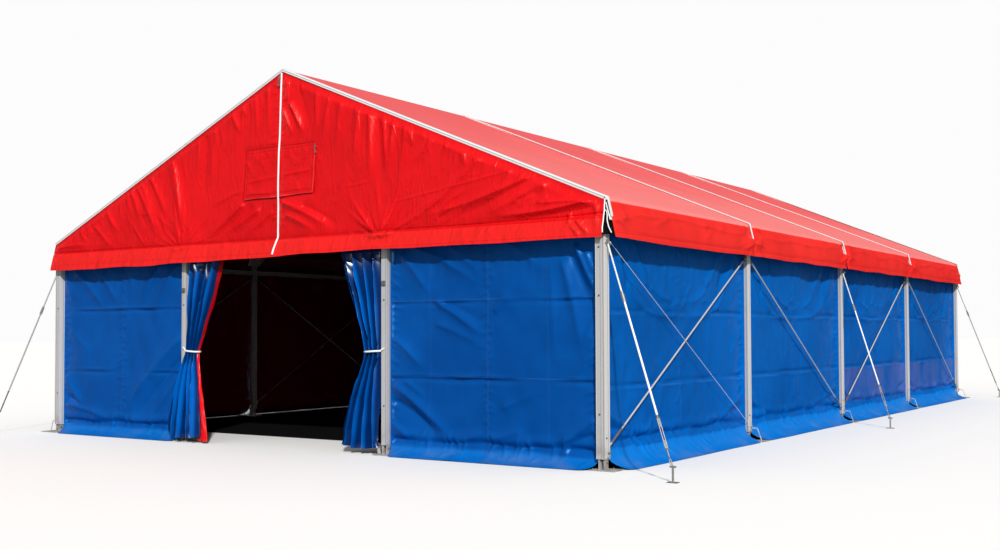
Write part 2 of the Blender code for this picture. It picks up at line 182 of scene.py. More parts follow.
def flutes(place):
    """Dark lines down the flutes of the legs and gable posts, dirt and painted shade together, and painted
    highlights on their outer corners.
    """
    across = place.axis("X")
    off_leg = abs(across) - leg_centre
    off_line = off_frame(place)
    off_post = abs(across - post_middle) - (post_lines["right"] - post_middle)
    on_posts = off_post.near(0.021, 0.004, 0.002)
    dark = off_leg.near(0.036, 0.004, 0.002).larger(off_line.near(0.012, 0.004, 0.002), on_posts)
    bright = abs(off_leg).rise(0.050, 0.054) * abs(off_leg).rise(0.0605, 0.0600)
    return dark, bright.larger(off_line.near(-0.010, 0.006, 0.003))


def aluminium(name, tone, stain, stretch, upright=False):
    """Extruded metal, streaked along the axis in which stretch is small."""
    made, place, shader = new_finish(name)
    streaks = place.scaled(*stretch).noise(14.0, 4.0, 0.6)
    marks = place.noise(3.1, 5.0, 0.65, seed=2.0).rise(0.52, 0.74)
    scratch = place.scaled(*(axis * 6 for axis in stretch)).noise(30.0, 2.0, 0.5).rise(0.62, 0.70)
    metal = streaks.blend(tuple(value * 0.82 for value in tone), tone)
    stained = (marks * 0.35).blend(metal, stain)
    colour = (scratch * 0.35).blend(stained, scratch_tone)
    height = streaks + scratch * 0.4
    if upright:
        dark, bright = flutes(place)
        # Painted highlight on the outer corners; dirt and painted shade down the flutes.
        colour = (bright * 0.55).blend(colour, corner_highlight)
        colour = (dark * 0.75).blend(colour, flute_dirt_and_shade)
        height = height - dark * 2.0
    low = place.axis("Z").rise(0.45, 0.02) * place.noise(9.0, 4.0, 0.6, seed=5.0).rise(0.35, 0.65)
    feed(
        shader,
        base_color=(low * 0.6).blend(colour, splashed_mud),
        roughness=streaks.spread(0.34, 0.52) + marks * 0.12,
        metallic=0.08,
        specular_ior_level=0.5,
        normal=bumped(height, 0.0006),
    )
    return made


def dress(piece, finish):
    """Puts one finish on a piece or on a part of the frame."""
    if piece.material_slots:
        for held in piece.material_slots:
            held.material = finish
    else:
        piece.data.materials.append(finish)


upright_metal = aluminium(
    "upright_aluminium", (0.52, 0.52, 0.52), (0.30, 0.25, 0.19), (1.0, 1.0, 0.05), upright=True
)
frames = range(1, 6)
sides = {"right": 1, "left": -1}
for number in frames:
    for side in sides:
        dress(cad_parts[f"leg_{side}_{number}"], upright_metal)


# Rafters
# Two aluminium rafters meet at each ridge. Over them lies the strip of white PVC that covers the joint
# of two roof sheets; it bends over the eave and ends halfway down the valance.
ridge_height = 5.10
eave_height = 2.97
eave_reach = 5.01
slope = (ridge_height - eave_height) / eave_reach


def above_roof(place):
    """How high a point is above the line of the roof."""
    return place.axis("Z") + abs(place.axis("X")) * slope - ridge_height


def grimy(place):
    """Patches of grime on white PVC."""
    return place.scaled(1.0, 3.0, 1.0).noise(5.0, 5.0, 0.6).rise(0.5, 0.8)


def rafter_finish():
    """Bare metal below the roof, and white PVC for the strip on top of it."""
    made, place, shader = new_finish("rafter_finish")
    past_eave = abs(place.axis("X")).rise(eave_reach - 0.008, eave_reach - 0.006)
    strip = above_roof(place).rise(0.0005, 0.0015).larger(past_eave)
    end_groove = abs(abs(place.axis("Y")) - 2 * bay).near(0.020, 0.010, 0.006)
    grime = grimy(place)
    white = (grime * 0.35).blend((0.86, 0.86, 0.85), (0.46, 0.45, 0.44))
    grooved = (end_groove * 0.55).blend(white, (0.30, 0.31, 0.33))
    streaks = place.scaled(0.1, 1.0, 0.1).noise(14.0, 4.0, 0.6)
    metal = streaks.blend((0.52, 0.51, 0.49), (0.70, 0.69, 0.67))
    raised = abs(off_frame(place)).rise(0.024, 0.020)
    feed(
        shader,
        base_color=strip.blend(metal, grooved),
        roughness=strip * -0.02 + 0.42 + grime * 0.1,
        metallic=(1.0 - strip) * 0.1,
        normal=bumped(raised + grime * 0.2, 0.0006),
    )
    return made


rafter_metal = rafter_finish()
for number in frames:
    dress(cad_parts[f"rafters_{number}"], rafter_metal)


# Joint covers
# White PVC sections are clipped over the joints of the roof: round-backed ones, and on the end frames an
# angle with a grey groove, whose flange hides the top edge of the gable sheet. On the slope at +X the
# covers and the cloth stand a little proud of the frames towards the eave.
frame_lines = [(number - 3) * bay for number in frames]
sheet_clear = 0.0085  # from the roof line to the top of the flat strip under the cover
valance_bottom = 2.58
valance_flare = 0.11
cover_end = (eave_reach + valance_flare / 2, (eave_height + valance_bottom) / 2)
eave_lift = 0.065
ends = (("front", frame_lines[0], -1), ("rear", frame_lines[-1], 1))


def propped(x, z):
    """How far the cloth at a point stands above its drawn line; only the slope at +X is propped up."""
    line = ridge_height - slope * np.abs(x)
    share = np.clip((z - valance_bottom) / (line - valance_bottom), 0.0, 1.0)
    return eave_lift * np.clip(x / eave_reach, 0.0, 1.0) * share


def above_cloth(place):
    """How high a point is above the line that the propped cloth keeps."""
    return above_roof(place) - place.axis("X").larger(0.0) * (eave_lift / eave_reach)


def set_up(name, mesh, finish):
    """A piece with this mesh, riding on the tent's one body."""
    piece = bpy.data.objects.new(name, mesh)
    bpy.context.scene.collection.objects.link(piece)
    dress(piece, finish)
    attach(piece, "root")
    return piece


def as_piece(name, shape, finish, smooth_angle=35):
    """Makes a piece of a mesh that has been built."""
    mesh = bpy.data.meshes.new(name)
    shape.to_mesh(mesh)
    shape.free()
    mesh.shade_smooth()
    mesh.set_sharp_from_angle(angle=math.radians(smooth_angle))
    return set_up(name, mesh, finish)


def skin(shape, rings):
    """Walls from each closed ring of points to the next, and a cap at both ends."""
    count = len(rings[0])
    for before, after in zip(rings, rings[1:]):
        for step in range(count):
            following = (step + 1) % count
            shape.faces.new((before[step], before[following], after[following], after[step]))
    shape.faces.new(rings[0][::-1])
    shape.faces.new(rings[-1])


def cover_route():
    """Points over the ridge and round both eaves, each with the direction that leads off the roof."""
    down = Vector((eave_reach, 0, eave_height - ridge_height)).normalized()
    off_slope = Vector((-down.z, 0, down.x))
    falling = Vector((cover_end[0] - eave_reach, 0, cover_end[1] - eave_height)).normalized()
    off_drop = Vector((-falling.z, 0, falling.x))
    half = [((0.0, ridge_height), Vector((0, 0, 1.0 / off_slope.z)))]
    for share in np.linspace(0.03, 0.985, 24):
        half.append(((eave_reach * share, ridge_height - slope * eave_reach * share), off_slope))
    for share in np.linspace(0.0, 1.0, 7):
        turned = off_slope.lerp(off_drop, share).normalized()
        half.append(((eave_reach - 0.002, eave_height + 0.001), turned))
    for share in (0.15, 0.5, 0.85, 0.97, 1.0):
        place = tuple(Vector((eave_reach, eave_height)).lerp(Vector(cover_end), share))
        half.append((place, off_drop))
    mirrored = [((-x, z), Vector((-off.x, 0, off.z))) for (x, z), off in half[:0:-1]]
    return mirrored + half


def cover(name, line, outline, finish, drop_width=1.0):
    """Runs a closed outline, in (distance off the roof, Y), along the route, with tapered ends."""
    shape = bmesh.new()
    rings = []
    route = cover_route()
    for number, ((x, z), off) in enumerate(route):
        from_tip = min(number, len(route) - 1 - number)
        size = (0.35, 0.8, 1.0)[min(from_tip, 2)]
        ring = []
        for height, y in outline:
            if z < eave_height:
                y = max(-drop_width, min(drop_width, y))
            place = Vector((x, line + y * size, z)) + off * (sheet_clear + (height - sheet_clear) * size)
            place.z += float(propped(x, z))
            ring.append(shape.verts.new(place))
        rings.append(ring)
    skin(shape, rings)
    bmesh.ops.recalc_face_normals(shape, faces=shape.faces)
    as_piece(name, shape, finish, 50)


def cover_finish(name, groove):
    """White PVC with grime in its hollows, a grey groove along the face of an end cover, and painted shade
    on the flanks of a round cover.
    """
    made, place, shader = new_finish(name)
    grime = grimy(place)
    spots = place.noise(40.0, 3.0, 0.6, seed=2.0).rise(0.60, 0.72)
    white = (grime * 0.3 + spots * 0.2).blend((0.76, 0.76, 0.76), (0.40, 0.39, 0.38))
    if groove:
        line = above_cloth(place).near(-0.010, 0.0095, 0.0065)
        line = line * abs(place.axis("X")).rise(eave_reach + 0.002, eave_reach - 0.002)
        white = (line * 0.62).blend(white, (0.26, 0.30, 0.32))
    else:
        # Painted shade: the flanks of a round cover are darkened.
        shaded_shoulder = abs(off_frame(place)).rise(0.0105, 0.0135)
        white = (shaded_shoulder * 0.6).blend(white, (0.36, 0.36, 0.36))
    feed(
        shader,
        base_color=white,
        roughness=grime.spread(0.35, 0.6),
        normal=bumped(grime + spots * 0.5, 0.0008),
    )
    return made


joint_white = cover_finish("joint_white", False)
edge_white = cover_finish("edge_white", True)
half_round = [(sheet_clear, -0.016)]
for step in range(9):
    angle = math.pi * step / 8
    half_round.append((sheet_clear + 0.002 + 0.010 * math.sin(angle), -0.016 * math.cos(angle)))
half_round.append((sheet_clear, 0.016))
for number, line in zip(frames[1:-1], frame_lines[1:-1]):
    cover(f"joint_cover_{number}", line, half_round, joint_white)
edge_angle = (
    (sheet_clear, -0.030), (sheet_clear + 0.003, -0.030), (sheet_clear + 0.006, -0.015),
    (sheet_clear + 0.006, 0.042), (sheet_clear + 0.003, 0.054), (0.001, 0.057), (-0.003, 0.054),
    (-0.015, 0.054), (-0.019, 0.057), (-0.027, 0.056), (-0.031, 0.052), (-0.031, 0.0465),
    (sheet_clear, 0.0465),
)
for end, line, sign in ends:
    cover(f"edge_cover_{end}", line, [(height, sign * y) for height, y in edge_angle], edge_white, 0.026)


# Gable posts and rails
# Plain aluminium tubes: the posts carry the rafters of the end frames and part the end walls, the rails
# join the frames at the eaves and ridge, and the header carries the door curtains.
rail_metal = aluminium("rail_aluminium", (0.62, 0.61, 0.59), (0.30, 0.24, 0.19), (1.0, 0.05, 1.0))
for end, line, sign in ends:
    for side in post_lines:
        dress(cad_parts[f"gable_post_{end}_{side}"], upright_metal)
for rail in ("eave_rail_right", "eave_rail_left", "ridge_beam", "door_header"):
    dress(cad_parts[rail], rail_metal)


# Bolts and brackets
# Zinc-plated hexagon bolts with washers clamp the legs, posts and knees, and a pin goes through the
# lugs of every foot. A bracket with two dark bolt heads faces outwards at the foot of each leg.
half_width = 5.0
leg_width = 0.10
pin_height = 0.085
lug_face = 0.043
plate_bolt = 0.085  # from the middle of a foot plate to its bolts, both ways


def rod_between(shape, start, end, radius, sides=12):
    """A closed round bar in a mesh that is being built."""
    start, end = Vector(start), Vector(end)
    along = end - start
    turn = along.to_track_quat("Z", "Y").to_matrix().to_4x4()
    bmesh.ops.create_cone(
        shape,
        cap_ends=True,
        segments=sides,
        radius1=radius,
        radius2=radius,
        depth=along.length,
        matrix=Matrix.Translation((start + end) / 2) @ turn,
    )


def block_between(shape, first, second, bevel):
    """A box between two opposite corners in a mesh that is being built, with its edges broken."""
    low = Vector([min(pair) for pair in zip(first, second)])
    high = Vector([max(pair) for pair in zip(first, second)])
    made = bmesh.ops.create_cube(shape, size=1.0)["verts"]
    bmesh.ops.scale(shape, vec=high - low, verts=made)
    bmesh.ops.translate(shape, vec=(low + high) / 2, verts=made)
    # each edge once, and in the same order every time
    edges = list(dict.fromkeys(edge for vertex in made for edge in vertex.link_edges))
    bmesh.ops.bevel(shape, geom=edges, offset=bevel, segments=2, affect="EDGES")


def bolt(shape, place, outwards, size):
    """A hexagon head on a washer, with the end of the thread showing."""
    place, outwards = Vector(place), Vector(outwards).normalized()
    rod_between(shape, place, place + outwards * 0.002, size * 1.35, 16)
    rod_between(shape, place + outwards * 0.002, place + outwards * (0.002 + size * 0.75), size, 6)
    rod_between(shape, place, place + outwards * (size * 0.75 + 0.008), size * 0.45, 10)


def foot_bolts(shape, x, y, size):
    """The heads of a foot's pin beside its lugs, and the four bolts of its plate."""
    for lug in (-lug_face, lug_face):
        bolt(shape, (x + lug, y, pin_height), (lug, 0, 0), size)
    for along in (-plate_bolt, plate_bolt):
        for across in (-plate_bolt, plate_bolt):
            bolt(shape, (x + across, y + along, 0.012), (0, 0, 1), size)


def fastener_finish():
    """Zinc plating that has gone dull, with rust in patches and around the heads."""
    made, place, shader = new_finish("bolt_zinc")
    rust = place.noise(38.0, 4.0, 0.7).rise(0.48, 0.66)
    zinc = place.noise(120.0, 2.0).blend((0.20, 0.19, 0.18), (0.42, 0.41, 0.39))
    feed(
        shader,
        base_color=(rust * 0.75).blend(zinc, (0.13, 0.075, 0.045)),
        roughness=rust.spread(0.38, 0.75),
        metallic=0.7 - rust * 0.5,
        normal=bumped(rust, 0.0008),
    )
    return made


bolt_zinc = fastener_finish()
for side, sign in sides.items():
    x = sign * leg_centre
    for number, line in zip(frames, frame_lines):
        shape = bmesh.new()
        for height in (2.48, 1.94, 0.62):
            for way in (-1, 1):
                bolt(shape, (x - sign * 0.015, line + way * leg_width / 2, height), (0, way, 0), 0.009)
        for height in (2.52, 0.36):
            bolt(shape, (sign * half_width, line - 0.030, height), (sign, 0, 0), 0.008)
        for along in (-0.018, 0.018):
            bolt(shape, (sign * (half_width + 0.016), line + along, 0.192), (sign, 0, 0), 0.009)
        rod_between(shape, (x - 0.05, line, pin_height), (x + 0.05, line, pin_height), 0.007)
        foot_bolts(shape, x, line, 0.010)
        as_piece(f"leg_bolts_{side}_{number}", shape, bolt_zinc)

for end, line, sign in ends:
    for side, x in post_lines.items():
        shape = bmesh.new()
        face = line + sign * 0.0375
        for height in (2.16, 1.95, 0.62):
            bolt(shape, (x, face, height), (0, sign, 0), 0.009)
        block_between(shape, (x - 0.03, face, 2.13), (x + 0.03, face + sign * 0.02, 2.19), 0.004)
        foot_bolts(shape, x, line, 0.009)
        as_piece(f"post_bolts_{end}_{side}", shape, bolt_zinc)


# Roof sheets
# One red PVC sheet a bay, drawn into the grooves of the rafters by its corded edges. It hangs a little
# between them, turns over the eave and ends in a valance that is pinched in where the covers end.
valance_drop = eave_height - valance_bottom
sheet_edge = 0.0103  # from a frame line to the edge of the roof sheet
rafter_side = 0.0405


def smooth(low, high, value):
    """0 below low and 1 above high, smoothly, for an array."""
    share = np.clip((value - low) / (high - low), 0.0, 1.0)
    return share * share * (3.0 - 2.0 * share)


def slack(u, v, size, seed, count=14):
    """Gentle rolling of a loose sheet over an area, about 1 either way, with waves of about the size."""
    pick = np.random.default_rng(seed).uniform
    total = np.zeros_like(u)
    for _ in range(count):
        angle = pick(0, math.pi)
        length = size * pick(0.6, 1.6)
        phase = pick(0, 2 * math.pi)
        total += np.sin((u * math.cos(angle) + v * math.sin(angle)) * 2 * math.pi / length + phase)
    return total / math.sqrt(count)


def fold(u, v, start, end, width, bow=0.0, fade=(0.15, 0.5)):
    """A crisp ridge of height 1 from start to end, bowed sideways, that widens and fades on its way."""
    (u0, v0), (u1, v1) = start, end
    length = math.hypot(u1 - u0, v1 - v0)
    au, av = (u1 - u0) / length, (v1 - v0) / length
    along = ((u - u0) * au + (v - v0) * av) / length
    aside = (v - v0) * au - (u - u0) * av
    aside = aside - bow * 4 * along * (1 - along)
    spread = width * (0.65 + 0.7 * np.clip(along, 0.0, 1.0))
    ends = smooth(0.0, fade[0], along) * smooth(0.0, fade[1], 1.0 - along)
    return ends * np.exp(0.2 - np.sqrt((aside / spread) ** 2 + 0.04))


def relief(u, v, folds, fade=(0.12, 0.45)):
    """The sum of single folds, each given by its two ends, its width, its height and its bow."""
    out = np.zeros_like(u)
    for u0, v0, u1, v1, width, rise, bow in folds:
        out += rise * fold(u, v, (u0, v0), (u1, v1), width, bow, fade)
    return out


def cloth(name, x, y, z, slot_name, finish, stands_for=None, **cut):
    """Hangs an open sheet, from arrays of its points, row by row; how it was cut is not used."""
    rows, columns = x.shape
    points = np.stack((x, y, z), axis=-1).reshape(-1, 3)
    number = np.arange(rows * columns).reshape(rows, columns)
    corners = (number[:-1, :-1], number[:-1, 1:], number[1:, 1:], number[1:, :-1])
    faces = np.stack(corners, axis=-1).reshape(-1, 4)
    mesh = bpy.data.meshes.new(name)
    mesh.vertices.add(len(points))
    mesh.vertices.foreach_set("co", points.ravel())
    mesh.loops.add(faces.size)
    mesh.loops.foreach_set("vertex_index", faces.ravel())
    mesh.polygons.add(len(faces))
    mesh.polygons.foreach_set("loop_start", np.arange(0, faces.size, 4))
    mesh.update(calc_edges=True)
    mesh.shade_smooth()
    piece = set_up(name, mesh, finish)
    if stands_for:
        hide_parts(stands_for)


def pvc(name, deep, full, gloss, shine, tint, seams=None, painted_light_and_tint=None, inner=None, crinkle=0.5,
        grain=None):
    """Coated cloth: cloudy colour, a crumpled skin, dust low down, the smooth gloss of plastic, and a
    recolouring that on some sheets paints light or shade.
    """
    made, place, shader = new_finish(name)
    cloud = place.noise(0.5, 3.0, 0.55)
    mottle = place.noise(6.0, 4.0, 0.6, seed=3.0)
    crumple = abs(place.noise(1.9, 4.0, 0.5, seed=7.0) - 0.5).rise(0.0, 0.07)
    pucker = abs(place.noise(7.0, 3.0, 0.5, seed=9.0) - 0.5).rise(0.0, 0.10)
    worn = place.noise(0.9, 3.0, 0.5, seed=11.0).rise(0.42, 0.64)
    height = crumple * worn * 0.9 + pucker * worn * 0.22 + mottle * 0.16
    if grain is not None:
        crease = abs(place.scaled(*grain).noise(4.6, 2.0, 0.45, seed=31.0) - 0.5).rise(0.0, 0.035)
        tuck = abs(place.scaled(*grain).noise(9.0, 2.0, 0.45, seed=37.0) - 0.5).rise(0.0, 0.06)
        height = height - crease - tuck * 0.45
    colour = (cloud * 0.8 + mottle * 0.2).rise(0.32, 0.68).blend(deep, full)
    # The recolouring paints light or shade on some sheets: a sky reflection on the roof slopes, a lit hem,
    # lit skirts, and shade in pleats and on the lining.
    if painted_light_and_tint is not None:
        colour = painted_light_and_tint(place, colour)
    # On the vent flap the seam lines are a painted highlight and a painted shadow along its edges.
    if seams is not None:
        line, groove = seams(place)
        pale_tone = tuple(min(value * 1.1 + 0.05, 1.0) for value in full)
        colour = (line * 0.35).blend(colour, pale_tone)
        colour = (groove * 0.6).blend(colour, tuple(value * 0.35 for value in deep))
        height = height + line * 0.8 - groove * 0.8
    dust = place.axis("Z").rise(0.16, 0.0) * place.noise(2.4, 5.0, 0.65, seed=13.0).rise(0.45, 0.72)
    colour = (dust * 0.15).blend(colour, (0.34, 0.32, 0.29))
    if inner is not None:
        back = place.add("ShaderNodeNewGeometry", output=6)
        colour = back.blend(colour, inner)
    feed(
        shader,
        base_color=colour,
        roughness=mottle.spread(gloss - 0.04, gloss + 0.06) + dust * 0.2,
        normal=bumped(height, 0.0045, crinkle),
        specular_ior_level=shine,
        specular_tint=tint,
    )
    return made


def below_eave(place):
    """1 on the valances and 0 on the slopes."""
    drop = place.axis("X").rise(-0.1, 0.1) * eave_lift + (eave_height - 0.04) - place.axis("Z")
    return drop.rise(-0.01, 0.01)


def slope_sheen_paint(place, colour):
    """Painted reflection: the slopes are painted paler, the more the nearer the eave, for the white sky's
    sheen at a grazing angle; the valances are not.
    """
    low = place.axis("Z").rise(ridge_height - 0.1, eave_height)
    patch = place.scaled(1.0, 0.35, 1.0).noise(0.55, 3.0, 0.6, seed=21.0)
    # Painted reflection of the sky, strongest near the eave.
    painted_sheen = (low * 0.8 + patch * 0.5 - 0.25).rise(0.0, 1.0)
    slope_red = painted_sheen.blend((0.85, 0.120, 0.126), (0.93, 0.232, 0.222))
    return below_eave(place).blend(slope_red, colour)


def roof_seams(place):
    """The welded lap along the middle of every bay, and the hem at the foot of the valance."""
    from_middle = abs(place.axis("Y") % bay - bay / 2)
    below = below_eave(place)
    groove = from_middle.near(0.030, 0.0035, 0.0015)
    hem = (place.axis("Z") - valance_bottom).near(0.060, 0.005, 0.002)
    return from_middle.rise(0.030, 0.026) * (1.0 - below) * 0.1, groove * 0.25 + hem * below * 0.6


inner_red = (0.20, 0.006, 0.006)
roof_red = pvc(
    "roof_red", (0.72, 0.012, 0.010), (0.80, 0.022, 0.016), 0.42, 0.35, (1.0, 0.50, 0.45),
    roof_seams, slope_sheen_paint, inner_red,
)
half_bay = bay / 2 - sheet_edge
slope_length = math.hypot(eave_reach, ridge_height - eave_height)
valance_length = math.hypot(valance_flare, valance_drop)
slope_steps = np.concatenate((np.linspace(0.0, 0.90, 40), np.linspace(0.90, 1.0, 10)[1:]))
half_reach = np.concatenate((slope_steps, 1.0 + np.linspace(0.0, 1.0, 27)[1:]))
edge_steps = np.concatenate((np.linspace(0.0, 0.30, 22), np.linspace(0.30, half_bay, 34)[1:])) - half_bay
s, t = np.meshgrid(
    np.concatenate((-half_reach[:0:-1], half_reach)), np.concatenate((edge_steps, -edge_steps[-2::-1]))
)
way = np.sign(s)
reach = np.abs(s)  # 0 at the ridge, 1 at the eave and 2 at the foot of the valance
on_slope = np.clip(reach, 0.0, 1.0)
drop = np.clip(reach - 1.0, 0.0, 1.0)
t = t * (1.0 + sheet_edge / half_bay * smooth(0.42, 0.56, drop))
from_frame = bay / 2 - np.abs(t)
arch = np.sin(math.pi * on_slope)
held = smooth(rafter_side, 0.9, from_frame)
hang = np.sin(np.clip(from_frame - rafter_side, 0.0, None) / (bay / 2) * math.pi / 2) * held ** 0.3
sag = 0.042 * arch * np.clip(hang, 0.0, 1.0)
run = 5.4  # down a slope
pulls = [
    (share * run - 0.5, -half_bay, share * run + 0.3, half_bay, 0.16, 0.010, 0.35)
    for share in (0.30, 0.52, 0.72, 0.90)
]
tension = relief(reach * run, t, pulls, (0.2, 0.2))
rounding = np.exp(-((reach - 1.0) / 0.012) ** 2) * (reach < 1.0)
rounding += np.exp(-(drop / 0.10) ** 2) * (reach >= 1.0)
pinch = np.exp(-(from_frame / 0.13) ** 2)
billow = 0.038 * np.sin(math.pi * drop * 0.9) * (1.0 - np.exp(-(from_frame / 0.45) ** 2))
hem = -0.008 * np.exp(-((drop - 0.85) / 0.03) ** 2)
ease = smooth(0.0, 0.12, drop)
low = smooth(0.25, 1.0, drop)
v = drop * 0.41  # down the valance, in metres
for number, line in zip(frames[:-1], frame_lines):
    wave = slack(reach * 2.0 + number * 3.1, t, 2.2, 40 + number) * 0.006 * held
    wave += slack(t * 3.0, reach, 1.0, 60 + number) * 0.0025 * held
    x = eave_reach * on_slope
    z = ridge_height - slope * x - sag + (wave - tension * held - 0.006) * (reach < 1.0) * arch
    z -= 0.006 * rounding + valance_drop * drop
    x += valance_flare * drop - 0.006 * rounding
    pick = np.random.default_rng(100 + number).uniform
    ripple = np.zeros_like(t)
    for end in (-1, 1):
        corner = end * (bay / 2 - 0.02)
        for spoke in range(10):
            tilt = -0.35 + spoke * 0.20 + pick(-0.06, 0.06)
            length = pick(0.22, 0.70)
            start = (corner, 0.215 + pick(-0.01, 0.015))
            stop = (corner - end * length * math.cos(tilt), start[1] + length * math.sin(tilt) * 0.6)
            ripple += pick(0.018, 0.038) * fold(t, v, start, stop, 0.022, 0.0, (0.05, 0.8))
        for _ in range(6):
            start = (end * (bay / 2 - pick(0.0, 0.25)), 0.015)
            stop = (start[0] - end * pick(0.05, 0.30), start[1] + pick(0.08, 0.24))
            ripple += 0.014 * fold(t, v, start, stop, 0.02, 0.0, (0.1, 0.8))
    for _ in range(18):
        start = (pick(-1.8, 1.8), pick(0.02, 0.22))
        stop = (start[0] + pick(-0.5, 0.5), start[1] + pick(0.05, 0.22))
        ripple += pick(-0.014, 0.020) * fold(t, v, start, stop, 0.024, 0.02)
    roll = slack(t, drop * 0.4, 0.55, 80 + number) * 0.005
    roll += slack(t, drop * 0.2, 1.7, 90 + number) * 0.009
    crease_at = 0.14 + 0.025 * slack(t, drop * 0, 1.6, 95 + number)
    crease = 0.020 * np.exp(-np.abs(v - crease_at) / 0.020) * smooth(0.15, 0.6, from_frame)
    out = billow + (ripple + roll + crease + hem) * ease - 0.022 * pinch * smooth(0.40, 0.62, drop)
    out = out * (drop > 0)
    if number in (1, 4):
        outer = half_bay if number == 4 else -half_bay
        out = out * (0.2 + 0.8 * smooth(0.0, 0.30, np.abs(t - outer)))
    x = x + np.clip(out, -0.02 - 0.02 * drop, 0.06)
    z -= 0.010 * low ** 2 * np.cos(t / bay * math.pi)
    z += 0.007 * low ** 2 * slack(t, drop * 0, 1.4, 70 + number)
    cloth(
        f"roof_cover_{number}",
        way * x,
        line + bay / 2 + t,
        z + propped(way * x, z),
        "roof_pvc",
        roof_red,
        f"roof_sheet_{number}",
        flat=(2 * half_bay, 2 * (slope_length + valance_length)),
        held="stretched",
        rests_on=[f"rafters_{number}", f"rafters_{number + 1}"],
    )


# Gable sheets
# A red PVC triangle closes each end above the walls. It is laced under the rafters, so folds hang from
# the slopes and fan out from the posts, and its hem stands off like a pelmet.
gable_plane = 0.0398  # of the sheet in front of its frame line
gable_seeds = {-1: 300, 1: 400}
hem_top = 2.80
hem_flare = 0.12
hem_foot = 2.72  # of the fans over the posts
strip_line = -0.03
strip_foot = 2.81
drapes = (
    (-2.20, 4.08, -2.01, 2.83, 0.045, 0.036, 0.06),
    (-2.30, 4.05, -2.11, 3.23, 0.05, 0.014, 0.05),
    (-2.98, 3.74, -2.47, 2.85, 0.045, 0.026, 0.05),
    (-2.88, 3.76, -2.62, 3.18, 0.04, 0.020, 0.04),
    (-2.71, 3.86, -2.29, 3.10, 0.045, 0.022, 0.05),
    (-3.13, 3.69, -2.87, 3.11, 0.045, 0.016, 0.03),
    (-3.70, 3.40, -3.45, 3.00, 0.045, 0.018, 0.02),
    (-4.37, 3.17, -4.16, 2.92, 0.04, 0.018, 0.0),
    (-4.01, 3.19, -3.47, 2.72, 0.045, 0.016, 0.03),
    (-4.89, 2.88, -4.01, 2.89, 0.045, 0.016, 0.03),
    (-1.00, 4.64, -0.77, 4.23, 0.035, 0.024, 0.03),
    (-0.76, 4.71, -0.65, 4.50, 0.03, 0.016, 0.0),
    (-0.47, 4.80, -0.46, 4.20, 0.045, 0.012, 0.0),
    (-0.25, 4.88, -0.20, 4.18, 0.045, 0.014, 0.0),
    (-1.63, 4.33, -1.70, 3.58, 0.06, 0.012, 0.0),
    (-1.28, 4.43, -1.41, 3.45, 0.06, 0.012, 0.0),
    (-1.47, 4.37, -1.58, 3.20, 0.07, -0.012, 0.0),
    (-0.70, 3.33, -1.58, 2.84, 0.045, 0.030, 0.03),
    (-0.39, 3.24, -1.27, 2.88, 0.045, 0.024, 0.03),
    (-0.55, 3.30, -1.40, 2.84, 0.06, -0.016, 0.03),
    (-0.90, 3.47, -1.50, 3.30, 0.035, 0.010, 0.0),
    (-0.14, 3.19, -0.75, 2.87, 0.035, 0.018, 0.02),
    (-0.94, 3.47, -0.71, 3.49, 0.02, 0.008, 0.0),
    (-2.87, 3.29, -2.54, 3.31, 0.02, 0.006, 0.0),
    (0.11, 4.97, 0.14, 4.55, 0.03, 0.024, 0.0),
    (0.16, 4.64, 0.41, 4.12, 0.032, 0.040, 0.03),
    (0.02, 4.57, 0.21, 4.13, 0.028, 0.032, 0.02),
    (0.36, 4.87, 0.38, 4.66, 0.03, 0.014, 0.0),
    (0.29, 4.92, 0.56, 4.05, 0.05, -0.016, 0.0),
    (0.67, 4.79, 0.63, 4.00, 0.045, 0.016, 0.0),
    (0.91, 4.70, 0.71, 3.81, 0.045, 0.016, 0.0),
    (1.12, 4.60, 0.99, 3.80, 0.045, 0.014, 0.0),
    (1.41, 4.47, 1.29, 3.65, 0.05, 0.026, 0.02),
    (1.60, 4.39, 1.56, 3.35, 0.045, 0.026, 0.02),
    (1.82, 4.30, 1.87, 3.40, 0.038, 0.024, 0.0),
    (1.98, 4.24, 1.89, 3.60, 0.038, 0.022, 0.02),
    (1.72, 4.34, 1.78, 3.27, 0.06, -0.014, 0.0),
    (2.18, 4.15, 2.02, 3.30, 0.038, 0.018, 0.02),
    (2.21, 4.13, 2.56, 3.99, 0.025, 0.018, 0.02),
    (2.21, 4.12, 2.29, 3.80, 0.028, 0.018, 0.0),
    (2.67, 3.92, 2.21, 3.60, 0.035, 0.016, 0.03),
    (3.08, 3.76, 3.12, 3.44, 0.028, 0.020, 0.0),
    (3.19, 3.73, 3.44, 3.58, 0.025, 0.016, 0.0),
    (3.37, 3.62, 2.06, 2.83, 0.045, 0.020, 0.06),
    (4.14, 3.32, 2.21, 2.93, 0.045, 0.026, 0.05),
    (4.09, 3.30, 2.60, 2.82, 0.06, -0.018, 0.04),
    (4.32, 3.25, 3.33, 2.91, 0.045, 0.018, 0.03),
    (4.96, 2.97, 3.36, 2.88, 0.045, 0.030, 0.03),
    (4.96, 2.94, 3.85, 2.98, 0.035, 0.018, -0.02),
    (4.93, 2.89, 2.86, 2.81, 0.05, -0.020, 0.02),
    (-0.02, 3.30, 0.99, 2.84, 0.05, 0.036, 0.05),
    (0.07, 3.12, 0.69, 2.84, 0.045, 0.026, 0.03),
    (0.39, 3.23, 1.08, 2.88, 0.05, -0.020, 0.03),
    (4.54, 2.86, 4.60, 2.70, 0.016, 0.030, 0.0),
    (4.66, 2.78, 4.86, 2.60, 0.018, 0.040, 0.0),
    (4.60, 2.72, 4.76, 2.58, 0.018, 0.030, 0.0),
    (4.90, 2.92, 4.93, 2.62, 0.018, 0.024, 0.0),
)


def kept_within(value, low, high):
    """Eases a depth towards two limits that it never passes."""
    middle, half = (low + high) / 2, (high - low) / 2
    return middle + half * np.tanh((value - middle) / half)


